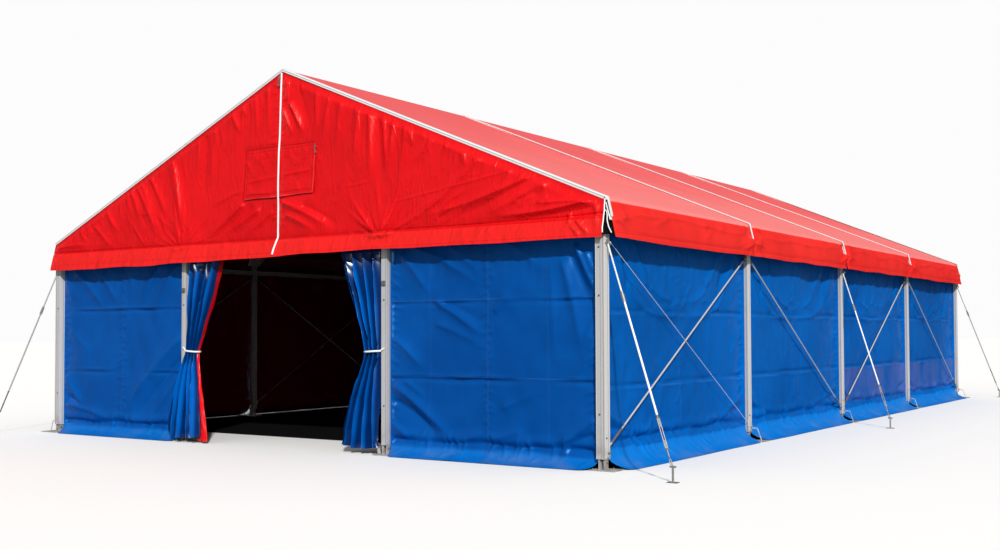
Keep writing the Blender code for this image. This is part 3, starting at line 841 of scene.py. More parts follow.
def gable_folds(x, z, sign):
    """How far a gable sheet stands forward of its plane, over arrays of x and height."""
    seed = gable_seeds[sign]
    pick = np.random.default_rng(seed).uniform
    x = x * -sign
    under = ridge_height - slope * np.abs(x) - z
    out = 0.030 + 0.010 * slack(x, z, 1.6, seed + 1) + 0.003 * slack(x * 2.0, z, 0.8, seed + 2)
    out += 1.6 * relief(x, z, drapes, (0.06, 0.5))
    for post, rays, strength in ((1.76, 23, 0.030), (-1.98, 13, 0.024)):
        for ray in range(rays):
            angle = math.pi * (0.10 + 0.80 * (ray + pick(-0.25, 0.25)) / (rays - 1))
            length = pick(0.45, 0.95) * (0.75 + 0.45 * math.sin(angle))
            start = (post, hem_foot)
            end = (post + 1.15 * length * math.cos(angle), hem_foot + length * math.sin(angle))
            bow = pick(-0.03, 0.03)
            out += strength * pick(0.5, 1.2) * fold(x, z, start, end, 0.021, bow, (0.12, 0.75))
    for _ in range(46):
        top = pick(-4.4, 4.4)
        head = ridge_height - slope * abs(top) - 0.045
        length = pick(0.3, 0.9) * min((head - hem_top) / 1.2, 1.0)
        end = (top * 0.94 + pick(-0.12, 0.12), head - length)
        out += pick(0.006, 0.016) * fold(x, z, (top, head), end, 0.020, 0.01, (0.1, 0.8))
    for _ in range(60):
        top = pick(-4.7, 4.7)
        head = ridge_height - slope * abs(top) - 0.045
        length = pick(0.08, 0.30)
        end = (top + pick(-0.10, 0.10), head - length)
        out += pick(0.008, 0.024) * fold(x, z, (top, head), end, 0.018, 0.01, (0.2, 0.8))
    for _ in range(44):
        start = (pick(-4.9, 4.9), hem_top + pick(-0.03, 0.04))
        end = (start[0] + pick(-0.12, 0.12), start[1] - pick(0.08, 0.20))
        out += pick(0.010, 0.030) * fold(x, z, start, end, 0.018, 0.01, (0.2, 0.8))
    for _ in range(30):
        start = (pick(-4.0, 4.0), pick(2.85, 3.6))
        end = (start[0] + pick(-0.5, 0.5), start[1] + pick(-0.12, 0.12))
        out += pick(-0.006, 0.010) * fold(x, z, start, end, 0.014, pick(-0.04, 0.04))
    for low, high, least, most, many in ((2.0, 4.4, 0.42, 0.62, 40), (-4.4, -2.0, 1.75, 2.5, 24)):
        for _ in range(many):
            start = (pick(low, high), pick(2.83, 3.10))
            length, angle = pick(0.18, 0.62), pick(least, most)
            end = (start[0] + length * math.cos(angle), start[1] + length * math.sin(angle))
            out += pick(-0.010, 0.018) * fold(x, z, start, end, 0.018, pick(-0.03, 0.03))
    for *line, rise, fade in (
        (1.95, 3.16, 3.9, 3.40, 0.009, 0.1),
        (2.88, 3.75, 2.88, 2.85, 0.004, 0.05),
        (4.08, 3.28, 4.07, 2.85, 0.004, 0.05),
    ):
        out += rise * fold(x, z, line[:2], line[2:], 0.010, 0.0, (0.05, fade))
    pressed = 0.75 * np.exp(-((x - strip_line) / 0.055) ** 2) * (z > strip_foot - 0.1)
    for height in np.arange(2.90, 4.95, 0.095):
        for way in (-1, 1):
            start = (strip_line + way * 0.02, height + pick(-0.02, 0.02))
            end = (start[0] + way * pick(0.08, 0.20), start[1] + pick(-0.09, 0.03))
            out += pick(0.008, 0.020) * fold(x, z, start, end, 0.016, 0.0, (0.1, 0.8))
    out = 0.024 + (out - 0.024) * (1.0 - pressed)
    if sign < 0:
        behind_flap = smooth(-0.78, -0.66, x) * smooth(0.68, 0.58, x)
        behind_flap = behind_flap * smooth(3.30, 3.42, z) * smooth(4.12, 4.02, z)
        out = out * (1.0 - behind_flap * 0.75) + 0.012 * behind_flap
    free = smooth(0.045, 0.16, under)
    by_hem = smooth(hem_top, hem_top + 0.10, z) * 0.25 + 0.75
    return kept_within(out, -0.006, 0.110) * free * by_hem


def gable_point(x, z, sign):
    """A point on the gable sheet from its x and its height along the cloth, as arrays."""
    seed = gable_seeds[sign]
    depth = gable_plane + gable_folds(x, z, sign) + 0.012 * smooth(0.0, 0.03, propped(x, z))
    share = np.clip((hem_top - z) / (hem_top - valance_bottom), 0.0, 1.0)
    flare = (hem_flare - 0.02) * (share * 0.75 + 0.25 * share ** 0.5) + 0.012 * smooth(0.0, 0.12, share)
    flare = flare * (1.0 - 0.50 * smooth(4.5, 5.0, np.abs(x)))
    flare += 0.008 * smooth(0.1, 1.0, share) * slack(x, z * 0, 0.6, seed + 5)
    flare += 0.004 * smooth(0.2, 1.0, share) * slack(x, z * 0, 0.19, seed + 6)
    crease = -0.012 * np.exp(-((z - hem_top - 0.012) / 0.012) ** 2)
    drop = 0.007 * smooth(0.5, 1.0, share) * slack(x, z * 0, 1.1, seed + 7)
    drop = drop - 0.050 * smooth(0.3, 1.0, share) * smooth(-1.5, 3.0, x * sign)
    return x, sign * (2 * bay + depth + flare + crease), z + drop + propped(x, z)


def gable_seams(place):
    """Stitching beside the rafters and along the hem, and the laps of the sheet's panels."""
    across = abs(place.axis("X"))
    stitch = above_cloth(place).near(-0.085, 0.005, 0.002) * (across % 0.02).rise(0.006, 0.008)
    hem = place.axis("Z").near(hem_top, 0.010, 0.004)
    low_hem = (place.axis("Z") - valance_bottom).near(0.03, 0.004, 0.002)
    laps = across.near(2.88, 0.004, 0.002).larger(across.near(4.08, 0.004, 0.002))
    return laps * 0.25, stitch * 0.5 + hem * 0.55 + low_hem * 0.5


def lit_hem_paint(place, colour):
    """The hem is two layers thick; it is painted a little paler, a painted highlight for the sun on its
    up-tilted band.
    """
    below = place.axis("Z").rise(hem_top + 0.006, hem_top - 0.004)
    return (below * 0.7).blend(colour, (0.71, 0.014, 0.012))


gable_cloth = ((0.60, 0.001, 0.005), (0.73, 0.003, 0.007), 0.36, 0.50, (1.0, 0.42, 0.34))
gable_red = pvc(
    "gable_red", *gable_cloth, gable_seams, lit_hem_paint, crinkle=0.75, grain=(1.0, 1.0, 0.30)
)
gable_grids = {"front": (510, 160), "rear": (220, 80)}
end_frames = {"front": 1, "rear": 5}
for end, line, sign in ends:
    columns, rows = gable_grids[end]
    across = np.linspace(-eave_reach, eave_reach, columns)
    top = ridge_height - slope * np.abs(across)
    z_hem = np.tile(np.linspace(valance_bottom, hem_top, 15)[:, None], (1, columns))
    z_body = hem_top + (top - hem_top) * np.linspace(0.0, 1.0, rows)[1:][:, None]
    z = np.concatenate((z_hem, z_body))
    cloth(
        f"gable_cover_{end}",
        *gable_point(np.tile(across, (len(z), 1)), z, sign),
        "gable_pvc",
        gable_red,
        f"gable_sheet_{end}",
        flat=(2 * eave_reach, ridge_height - valance_bottom + 0.03),
        area=eave_reach * (ridge_height - eave_height) + 2 * eave_reach * valance_drop,
        held="hung",
        rests_on=[f"rafters_{end_frames[end]}"],
    )


# Vent flap
# A hemmed rectangle of the same red PVC is sewn over the vent in the front gable along its top edge. It
# hangs a little loose, and a small dark buckle holds its upper right corner.
flap_corners = np.array(((-0.715, 3.365), (0.595, 3.385), (0.645, 4.062), (-0.668, 4.050)))
flap_flat = (1.31, 0.68)
u, v = np.meshgrid(np.linspace(0, 1, 90), np.linspace(0, 1, 54))
lower, upper = (
    flap_corners[left] + (flap_corners[right] - flap_corners[left]) * u[..., None]
    for left, right in ((0, 1), (3, 2))
)
flap_x, flap_z = np.moveaxis(lower + (upper - lower) * v[..., None], -1, 0)
flap_z = flap_z + 0.006 * np.sin(u * 9.0) * (1 - v)
rim = np.minimum(np.minimum(u, 1 - u) * flap_flat[0], np.minimum(v, 1 - v) * flap_flat[1])
pick = np.random.default_rng(331).uniform
loose = 0.014 + 0.006 * smooth(0.0, 0.02, rim) - 0.006 * np.exp(-((rim - 0.045) / 0.008) ** 2)
loose += 0.010 * smooth(0.4, 0.0, v)
for spot in np.linspace(-0.60, 0.58, 15):
    length = pick(0.08, 0.24)
    rise = pick(0.006, 0.014)
    stop = (spot + pick(-0.05, 0.05), 4.03 - length)
    loose += rise * fold(flap_x, flap_z, (spot, 4.03), stop, 0.016)
loose += relief(flap_x, flap_z, (
    (0.05, 3.66, 0.60, 3.70, 0.020, 0.014, 0.0),
    (-0.68, 3.60, 0.02, 3.66, 0.020, 0.010, 0.0),
    (-0.62, 3.46, -0.10, 3.42, 0.025, 0.012, 0.0),
    (-0.30, 3.98, -0.55, 3.62, 0.035, 0.012, 0.02),
    (0.30, 3.55, 0.36, 3.40, 0.025, 0.014, 0.0),
    (0.12, 3.95, 0.40, 3.75, 0.035, 0.010, 0.0),
    (-0.66, 3.90, -0.58, 3.80, 0.020, 0.014, 0.0),
), (0.1, 0.3))
loose += 0.003 * slack(flap_x, flap_z, 0.3, 321)
flap_depth = gable_plane + gable_folds(flap_x, flap_z, -1) + np.clip(loose, 0.008, 0.055)


def flap_seams(place):
    """A hem round the flap with its stitching, a painted highlight along its right and lower edges, and
    painted shadow along its left and upper edges.
    """
    x, z = place.axis("X"), place.axis("Z")
    right = 0.62 - x + (z - 3.725) * 0.074
    low = z - 3.375 - x * 0.015
    left = x + 0.692 - (z - 3.708) * 0.069
    top = 4.056 - z + x * 0.009
    # Painted highlight along the right and lower edges, painted shadow along the left and upper ones.
    edge = right.rise(0.014, 0.010).larger(low.rise(0.016, 0.012))
    dashes = ((x + z) % 0.03).rise(0.010, 0.013)
    beside = [distance.near(0.05, 0.006, 0.003) for distance in (right, low, left, top)]
    shadowed_border = left.rise(0.016, 0.010).larger(top.rise(0.014, 0.008)) * 1.4
    return edge * 1.8, beside[0].larger(*beside[1:]) * dashes + shadowed_border


flap_red = pvc("flap_red", *gable_cloth, flap_seams, crinkle=0.6, grain=(1.0, 1.0, 0.5))
cloth(
    "vent_flap",
    flap_x,
    frame_lines[0] - flap_depth,
    flap_z,
    "gable_pvc",
    flap_red,
    flat=flap_flat,
    held="hung",
    rests_on=["gable_cover_front"],
)

shape = bmesh.new()
block_between(shape, (0.622, -8.092, 3.905), (0.648, -8.068, 3.935), 0.003)
block_between(shape, (0.615, -8.092, 3.985), (0.642, -8.068, 4.012), 0.003)
rod_between(shape, (0.634, -8.085, 3.92), (0.629, -8.085, 4.0), 0.004, 8)
as_piece("flap_buckle", shape, bolt_zinc)


# Centre strip and apex hook
# A white PVC tape runs down the middle of each gable from a dark hook at the apex, over the flap, and
# is tied off over the hem. It keeps the slack of the sheet in.
strip_route = (
    (0.0, 5.045), (-0.018, 4.60), (-0.034, 4.10), (-0.050, 3.60), (-0.058, 3.10), (-0.061, strip_foot),
)
strip_tail = ((-0.075, 2.775), (-0.100, 2.715), (-0.118, 2.66), (-0.133, 2.590))
hook_bend = (  # x, distance out and height
    (-0.010, 0.050, 5.005), (-0.010, 0.085, 5.0), (-0.012, 0.105, 4.975), (-0.020, 0.100, 4.93),
    (-0.035, 0.085, 4.905),
)


def white_cord():
    """White tape and cord, grey where hands and cloth have rubbed it."""
    made, place, shader = new_finish("white_cord")
    dirt = place.noise(16.0, 4.0, 0.65).rise(0.50, 0.80)
    feed(
        shader,
        base_color=(dirt * 0.4).blend((0.84, 0.84, 0.83), (0.46, 0.44, 0.41)),
        roughness=dirt.spread(0.45, 0.7),
        normal=bumped(place.noise(60.0, 2.0), 0.0003),
    )
    return made


def tube(shape, points, radius, sides=8):
    """A round cord through a smooth line of points, in a mesh that is being built."""
    points = [Vector(point) for point in points]
    rings = []
    guide = Vector((0.31, 0.87, 0.39))
    for index, point in enumerate(points):
        before, after = points[max(index - 1, 0)], points[min(index + 1, len(points) - 1)]
        along = (after - before).normalized()
        first = along.cross(guide)
        if first.length < 0.2:
            first = along.cross(Vector((1, 0, 0)))
        first.normalize()
        second = along.cross(first)
        ring = []
        for step in range(sides):
            angle = 2 * math.pi * step / sides
            offset = first * math.cos(angle) + second * math.sin(angle)
            ring.append(shape.verts.new(point + offset * radius))
        rings.append(ring)
        guide = first.cross(along)
    skin(shape, rings)


cord_white = white_cord()
for end, line, sign in ends:
    route = []
    for (x0, z0), (x1, z1) in zip(strip_route, strip_route[1:]):
        for share in np.linspace(0, 1, 14)[:-1]:
            route.append((x0 + (x1 - x0) * share, z0 + (z1 - z0) * share))
    xs, zs = np.array([*route, strip_route[-1], *strip_tail]).T
    px, py, _ = (row[0] for row in gable_point(-sign * xs[None, :], zs[None, :], sign))
    forward = (py - line) * sign
    taut = gable_plane + 0.030
    reach_out = np.where(zs > strip_foot, np.maximum(forward, taut), forward) + 0.006
    if end == "front":
        on_flap = smooth(3.30, 3.40, zs) * smooth(4.12, 4.02, zs)
        reach_out = reach_out + 0.026 * on_flap
    eased = np.convolve(np.pad(reach_out, 2, mode="edge"), np.ones(5) / 5, mode="valid")
    reach_out = np.maximum(eased, forward + 0.004)
    seen_x = px - sign * 0.64 * (reach_out - 0.06)  # set over, so that it looks straight from the front
    shape = bmesh.new()
    tube(shape, list(zip(seen_x, line + sign * reach_out, zs)), 0.0125, 10)
    as_piece(f"gable_strip_{end}", shape, cord_white, 60)
    shape = bmesh.new()
    tube(shape, [(x, line + sign * out, z) for x, out, z in hook_bend], 0.010)
    bolt(shape, (0.0, line + sign * 0.060, 5.0), (0, sign, 0), 0.015)
    block_between(shape, (-0.055, line + sign * 0.073, 4.865), (-0.025, line + sign * 0.097, 4.905), 0.004)
    as_piece(f"apex_hook_{end}", shape, bolt_zinc)


# Walls
# Blue PVC sheets run in the grooves of the legs and hang from the eave. They carry the fold lines of
# their storage, swag between the upper corners, and lie out on the ground as a skirt cut round the feet.
leg_depth = 0.12
wall_plane = half_width - leg_depth / 2
end_wall_inset = 0.03
side_crease = 0.22
end_crease = 0.13
cut_back = 0.22
post_half = 0.045
front_right_folds = (  # across from the sheet's left edge, in metres
    (0.12, 2.60, 0.03, 1.80, 0.05, 0.014, 0.0),
    (0.67, 1.94, 1.50, 1.45, 0.045, 0.032, 0.03),
    (0.80, 1.90, 1.48, 1.62, 0.05, -0.016, 0.03),
    (0.69, 1.65, 1.43, 1.36, 0.045, 0.018, 0.03),
    (0.14, 2.55, 0.67, 1.94, 0.05, 0.024, 0.02),
    (0.28, 2.62, 1.45, 2.05, 0.05, 0.024, 0.06),
    (0.87, 2.62, 1.48, 2.16, 0.05, 0.014, 0.03),
    (0.01, 1.47, 0.55, 1.06, 0.045, 0.026, 0.03),
    (0.00, 0.90, 0.99, 0.20, 0.060, 0.046, 0.05),
    (0.00, 0.70, 0.83, 0.18, 0.060, -0.030, 0.05),
    (0.00, 0.42, 0.34, 0.20, 0.040, 0.030, 0.0),
    (0.20, 0.95, 0.60, 0.72, 0.030, 0.012, 0.0),
    (0.98, 0.19, 1.48, 0.32, 0.045, 0.018, 0.0),
    (1.58, 1.77, 1.84, 2.03, 0.045, 0.018, 0.0),
    (2.39, 2.40, 2.47, 1.00, 0.080, 0.016, 0.0),
    (2.52, 2.45, 2.86, 1.05, 0.075, 0.026, 0.04),
    (2.72, 2.55, 3.03, 1.88, 0.034, 0.046, 0.02),
    (2.62, 2.50, 2.98, 1.74, 0.050, -0.020, 0.0),
    (2.87, 2.45, 3.02, 2.13, 0.028, 0.024, 0.0),
    (3.01, 1.75, 2.82, 1.32, 0.035, 0.016, 0.0),
    (3.01, 1.52, 2.65, 0.88, 0.050, 0.018, 0.02),
    (3.01, 0.58, 2.44, 0.22, 0.050, 0.030, 0.03),
    (3.01, 0.40, 2.31, 0.20, 0.050, -0.022, 0.02),
    (1.68, 0.62, 2.31, 0.88, 0.050, 0.010, 0.0),
    (1.53, 0.26, 2.10, 0.41, 0.045, 0.016, 0.0),
    (1.70, 2.62, 2.35, 2.20, 0.060, 0.014, 0.04),
)
front_left_folds = (
    (0.02, 2.55, 0.25, 1.95, 0.050, 0.018, 0.0),
    (0.25, 2.55, 0.99, 1.88, 0.055, 0.028, 0.03),
    (0.90, 2.50, 1.32, 1.94, 0.050, 0.020, 0.0),
    (2.37, 2.60, 1.75, 1.90, 0.055, 0.030, -0.03),
    (2.72, 2.60, 2.07, 1.63, 0.065, 0.026, -0.04),
    (2.84, 1.52, 1.34, 0.23, 0.070, 0.052, -0.06),
    (2.84, 1.26, 1.66, 0.20, 0.070, -0.034, -0.04),
    (2.84, 1.00, 2.03, 0.22, 0.050, 0.024, -0.03),
    (0.00, 0.90, 0.50, 0.34, 0.050, 0.026, 0.0),
    (0.00, 0.44, 1.29, 0.20, 0.050, 0.042, 0.04),
    (0.00, 0.58, 0.84, 0.24, 0.050, -0.024, 0.02),
    (1.56, 0.26, 2.69, 0.21, 0.045, 0.016, 0.0),
    (0.88, 1.93, 1.80, 1.92, 0.018, 0.014, 0.0),
    (0.10, 1.60, 0.70, 1.20, 0.060, 0.010, 0.0),
)
swag_arms = (  # from the upper corner of a side wall, and from its edge
    (0.30, 2.70, 0.66, 2.02, 0.036, 0.042, -0.05),
    (0.60, 2.12, 1.12, 1.78, 0.036, 0.040, -0.08),
    (0.95, 1.80, 1.95, 1.75, 0.030, 0.030, -0.02),
    (0.14, 2.62, 0.50, 1.80, 0.045, 0.022, 0.02),
    (0.80, 2.66, 1.20, 2.05, 0.040, 0.024, -0.05),
    (1.14, 2.10, 1.75, 1.90, 0.034, 0.022, -0.05),
    (0.44, 2.66, 0.86, 1.98, 0.050, -0.028, -0.05),
    (0.06, 2.30, 0.55, 1.45, 0.055, 0.018, 0.02),
    (0.04, 1.55, 0.40, 1.05, 0.050, 0.014, 0.02),
    (0.02, 0.62, 0.85, 0.24, 0.050, 0.030, 0.05),
    (0.02, 0.46, 1.30, 0.20, 0.050, -0.020, 0.04),
    (0.02, 0.85, 0.35, 0.48, 0.040, 0.016, 0.0),
)


def mirrored(folds, width):
    """The same folds the other way round on a sheet."""
    return [
        (width - u0, v0, width - u1, v1, thick, rise, -bow) for u0, v0, u1, v1, thick, rise, bow in folds
    ]


def swags(width, seed):
    """The folds of a side wall: arms from its top corners to the first fold line, and loose drapes."""
    draw = np.random.default_rng(seed)
    pick = draw.uniform
    folds = []
    for strength in (1.0, 0.75):
        arms = []
        for u0, v0, u1, v1, thick, rise, bow in swag_arms:
            u1, v1 = u1 + pick(-0.10, 0.10), v1 + pick(-0.05, 0.05)
            arms.append((u0, v0, u1, v1, thick, rise * strength * pick(0.75, 1.2), bow))
        folds += mirrored(arms, width) if folds else arms
    for _ in range(22):
        place = (draw.normal(width / 2, 0.42), 1.80 + abs(draw.normal(0.0, 0.20)))
        turned = pick(-0.9, 0.9)
        length = pick(0.10, 0.34)
        end = (place[0] + length * math.cos(turned), place[1] + length * math.sin(turned))
        folds.append((*place, *end, 0.016, pick(0.004, 0.013), pick(-0.04, 0.04)))
    for _ in range(11):
        place = (pick(0.25, width - 0.25), pick(1.0, 1.75))
        end = (place[0] + pick(-0.28, 0.28), place[1] - pick(0.4, 0.95))
        folds.append((*place, *end, 0.070, pick(-0.008, 0.010), 0.02))
    for _ in range(9):
        place = (pick(0.2, width - 0.2), pick(0.28, 0.70))
        end = (place[0] + pick(-0.45, 0.45), place[1] - pick(0.05, 0.30))
        folds.append((*place, *end, 0.030, pick(-0.010, 0.016), 0.03))
    return folds


def wall_relief(u, v, width, top, crease, seed, levels, folds, seams=(), lines=()):
    """How far a wall stands out, over arrays of the distance along it and the height."""
    pick = np.random.default_rng(seed).uniform
    out = 0.007 * slack(u, v, 1.5, seed + 1) + 0.002 * slack(u * 1.6, v, 0.5, seed + 2)
    gather = smooth(top - 0.75, top - 0.20, v)
    out += 0.0080 * gather * slack(u, v * 0.15, 0.62, seed + 3)
    out += 0.0026 * gather * slack(u, v * 0.25, 0.17, seed + 4)
    out += relief(u, v, folds)
    for edge, inwards in ((0.0, 1), (width, -1)):
        height = 0.34
        while height < top - 0.25:
            start = (edge + inwards * 0.004, height)
            length = pick(0.08, 0.24)
            end = (start[0] + inwards * length, height - length * pick(0.1, 0.75))
            rise = pick(0.007, 0.018)
            out += rise * fold(u, v, start, end, 0.017, 0.0, (0.02, 0.85))
            height += pick(0.07, 0.13)
    for height, dip in levels:
        broken = np.clip(0.65 + 0.5 * slack(u, v * 0, 1.1, seed + 9 + int(height * 10)), 0.05, 1.3)
        wander = height + 0.006 * slack(u, v * 0, 0.9, seed + 8)
        out += 0.011 * broken * np.exp(-np.abs(v - wander) / 0.011)
        out -= 0.015 * broken * np.exp(-((v - wander - dip) / 0.024) ** 2)
    for line in lines:
        out += 0.004 * np.exp(-np.abs(u - line) / 0.008)
    for seam in seams:
        out += 0.005 * np.exp(-np.abs(u - seam) / 0.012)
        height = 0.34
        while height < top - 0.2:
            for way in (-1, 1):
                start = (seam + way * 0.012, height + pick(-0.03, 0.03))
                length = pick(0.05, 0.17)
                end = (start[0] + way * length, start[1] - length * pick(-0.2, 0.8))
                rise = pick(0.003, 0.011)
                out += rise * fold(u, v, start, end, 0.015, 0.0, (0.05, 0.8))
            height += pick(0.07, 0.12)
    for _ in range(int(width * 6)):
        start = (pick(0.1, width - 0.1), crease - 0.02)
        end = (start[0] + pick(-0.12, 0.12), crease + pick(0.08, 0.30))
        out += pick(0.006, 0.026) * fold(u, v, start, end, 0.022, 0.0, (0.02, 0.7))
    valley = crease + 0.065 + 0.018 * slack(u, v * 0, 0.9, seed + 12)
    depth = np.clip(0.8 + 0.4 * slack(u, v * 0, 0.7, seed + 13), 0.2, 1.4)
    out -= 0.024 * depth * np.exp(-((v - valley) / 0.035) ** 2)
    out += 0.008 * np.exp(-((v - valley - 0.085) / 0.05) ** 2)
    return out * 1.7


def wall_sheet(name, node, middle, turn, width, seed, finish, grid, limits, rest_at, folds, rests,
               top, crease, skirt, levels, seams=(), lines=(), cut=cut_back):
    """Hangs one wall sheet that faces -Y before it is turned about the vertical through its middle."""
    columns, rows, skirt_rows = grid
    edge = np.array([0.0, 0.006, 0.012, 0.022, 0.034, 0.048])
    u_line = np.concatenate((edge, np.linspace(0.064, width - 0.064, columns), width - edge[::-1]))
    u, v = np.meshgrid(u_line, np.linspace(crease, top, rows))
    out = rest_at + wall_relief(u, v, width, top, crease, seed, levels, folds, seams, lines)
    held = smooth(0.006, 0.055, u) * smooth(0.006, 0.055, width - u)
    settle = smooth(crease, crease + 0.06, v)
    out = kept_within(out, *limits) * held * (0.55 + 0.45 * settle)
    turned = np.linspace(math.pi / 2, 0.0, skirt_rows)[:-1][:, None]
    us = np.tile(u_line, (skirt_rows - 1, 1))
    clear = np.maximum(np.minimum(us, width - us) - 0.012, 0.0)
    full = np.sqrt(1 - (1 - np.minimum(clear / cut, 1.0)) ** 2)
    swing = np.maximum(full, 0.03) * turned
    wave = 1.0 + 0.020 * slack(us, us * 0, 1.6, seed + 21)
    lie = turned / (math.pi / 2)
    lying = 0.70 * lie * np.sin(swing) * smooth(0.0, 1.0, full)
    reach = skirt * wave * (0.30 * (1 - np.cos(swing)) + lying)
    drop = 1 - np.sin(np.minimum(swing, math.pi / 2))
    crisp = np.zeros_like(us)
    pick = np.random.default_rng(seed + 31).uniform
    for _ in range(int(width * 6)):
        start = (pick(0.1, width - 0.1), pick(-0.1, 0.5))
        end = (start[0] + pick(-0.16, 0.16), start[1] + pick(0.3, 0.7))
        crisp += pick(0.006, 0.020) * fold(us, lie, start, end, 0.022)
    raised = 0.003 * np.clip(slack(us, us * 0, 0.4, seed + 23), 0.0, 2.0) * lie
    height = 0.004 + (crease - 0.004) * drop + (raised + crisp * np.sin(lie * 2.6)) * full
    skirt_out = out[0] * (1 - np.sin(swing)) + reach
    x = np.concatenate((us, u)) - width / 2
    y = -np.concatenate((skirt_out, out))
    cosine, sine = math.cos(turn), math.sin(turn)
    cloth(
        name,
        middle[0] + x * cosine - y * sine,
        middle[1] + x * sine + y * cosine,
        np.concatenate((height, v)),
        "wall_pvc",
        finish,
        node,
        flat=(width, top + skirt * 0.75),
        held="hung",
        rests_on=rests,
    )


def storage_lines(place, high, low, seed):
    """The two fold lines of the storage across a wall, worn away in places."""
    height = place.axis("Z") + place.noise(0.8, 1.0) * 0.02
    folded = height.near(high, 0.008, 0.003).larger(height.near(low, 0.008, 0.003))
    return folded * place.noise(1.6, 3.0, 0.6, seed=seed).rise(0.42, 0.58)


def side_wall_seams(place):
    """Storage folds across a side wall, and the welded lap down the middle of a bay."""
    from_middle = abs(place.axis("Y") % bay - bay / 2)
    folded = storage_lines(place, 1.75, 0.89, 17.0)
    lap = from_middle.rise(0.026, 0.022)
    return folded * 1.1 + lap * 0.15, from_middle.near(0.026, 0.005, 0.002) * 0.5


end_laps = {"left": -3.48, "middle": -0.10, "right": 3.33}
light_folds = (2.45, 4.18)


def end_wall_seams(place):
    """The same folds across an end wall, with a lap down each of its sheets and two upright folds."""
    across = place.axis("X")
    upright_folds = [across.near(middle, 0.024, 0.018) * 0.4 for middle in light_folds]
    laps = across.near(end_laps["left"], 0.024, 0.018).larger(
        upright_folds[0], across.near(end_laps["right"], 0.024, 0.018), upright_folds[1]
    )
    edges = [abs(across - end_laps[side]).near(0.024, 0.005, 0.002) for side in ("left", "right")]
    folded = storage_lines(place, 1.94, 1.00, 19.0)
    return folded * 0.8 + laps * 0.15, edges[0].larger(edges[1]) * 0.5


def greyed_and_lit_skirts(place, colour):
    """The far bays are painted greyer below their lower fold, and all skirts are painted paler, a painted
    highlight for the light on their upturned cloth.
    """
    far = place.axis("Y").rise(-0.2, 0.6) * place.axis("X").rise(4.5, 4.8)
    below = place.axis("Z").rise(0.90, 0.86) * place.axis("Z").rise(0.26, 0.34)
    cloud = place.scaled(1.0, 1.0, 0.6).noise(1.4, 3.0, 0.6, seed=23.0).rise(0.30, 0.66)
    greyer = (far * below * cloud * 0.36).blend(colour, (0.14, 0.13, 0.36))
    # Painted highlight: the skirts, which face up, get a paler blue.
    on_side = abs(place.axis("X")).rise(4.90, 4.92)
    uneven = place.noise(1.3, 3.0, 0.5, seed=27.0).spread(-0.05, 0.05)
    skirt = (place.axis("Z") - on_side.spread(end_crease, side_crease) - uneven).rise(0.03, -0.03)
    return (skirt * on_side.spread(0.50, 0.85)).blend(greyer, (0.002, 0.170, 0.58))


side_blue = pvc(
    "side_blue", (0.000, 0.078, 0.33), (0.000, 0.106, 0.43), 0.30, 0.08, (0.20, 0.60, 1.0),
    side_wall_seams, greyed_and_lit_skirts, inner_red, 0.28,
)
# Painted shade: the end walls are the same blue cloth as the side walls, given a darker blue.
end_blue = pvc(
    "end_blue", (0.000, 0.054, 0.26), (0.000, 0.078, 0.35), 0.34, 0.35, (0.20, 0.60, 1.0),
    end_wall_seams, greyed_and_lit_skirts, inner_red,
)
joint_gap = 0.0003
groove_floor = leg_width / 2 - 0.008 + joint_gap
side_width = bay - 2 * groove_floor
side_cut = {"top": 2.80, "crease": side_crease, "skirt": 0.30, "levels": ((1.74, 0.034), (0.88, 0.034))}
side_kinds = {  # limits of depth, resting depth, grid and how far the skirt is cut back
    "right": ((-0.120, 0.010), -0.050, (160, 124, 14), cut_back),
    "left": ((-0.012, 0.100), 0.040, (96, 84, 10), 0.10),
}
for number, line in zip(frames[:-1], frame_lines):
    for side, (limits, rest_at, grid, cut) in side_kinds.items():
        sign = sides[side]
        seed = 500 + number * 10 + (sign + 1) * 200
        wall_sheet(
            f"wall_cover_{side}_{number}",
            f"side_wall_{side}_{number}",
            (sign * wall_plane, line + bay / 2),
            sign * math.pi / 2,
            side_width,
            seed,
            side_blue,
            grid,
            limits,
            rest_at,
            swags(side_width, seed + 5),
            [f"leg_{side}_{number}", f"leg_{side}_{number + 1}"],
            seams=(side_width / 2,),
            cut=cut,
            **side_cut,
        )

corner = half_width - leg_depth - joint_gap
beside_post = post_half + joint_gap
panels = {
    "left": (-corner, post_lines["left"] - beside_post),
    "middle": (post_lines["left"] + beside_post, post_lines["right"] - beside_post),
    "right": (post_lines["right"] + beside_post, corner),
}
end_cut = {"top": 2.72, "crease": end_crease, "skirt": 0.21, "levels": ((1.93, -0.040), (1.00, -0.040))}
for end, line, sign in ends:
    front = end == "front"
    for name, (start, stop) in panels.items():
        if front and name == "middle":
            continue
        width = stop - start
        lap = end_laps[name]
        if name == "middle":
            folds = swags(width, 771)
        else:
            folds = {"left": front_left_folds, "right": front_right_folds}[name]
            folds = folds if front else mirrored(folds, width)
        wall_sheet(
            f"wall_cover_{end}_{name}",
            f"{end}_wall_{name}",
            ((start + stop) / 2, line - sign * end_wall_inset),
            0.0 if front else math.pi,
            width,
            700 + len(name) * 10 + (0 if front else 100),
            end_blue,
            (160, 132, 14) if front else (104, 84, 10),
            (-0.110, 0.056),
            -0.022,
            folds,
            [f"rafters_{end_frames[end]}"],
            seams=(lap - start if front else stop - lap,),
            lines=[across - start for across in light_folds] if front and name == "right" else (),
            **end_cut,
        )


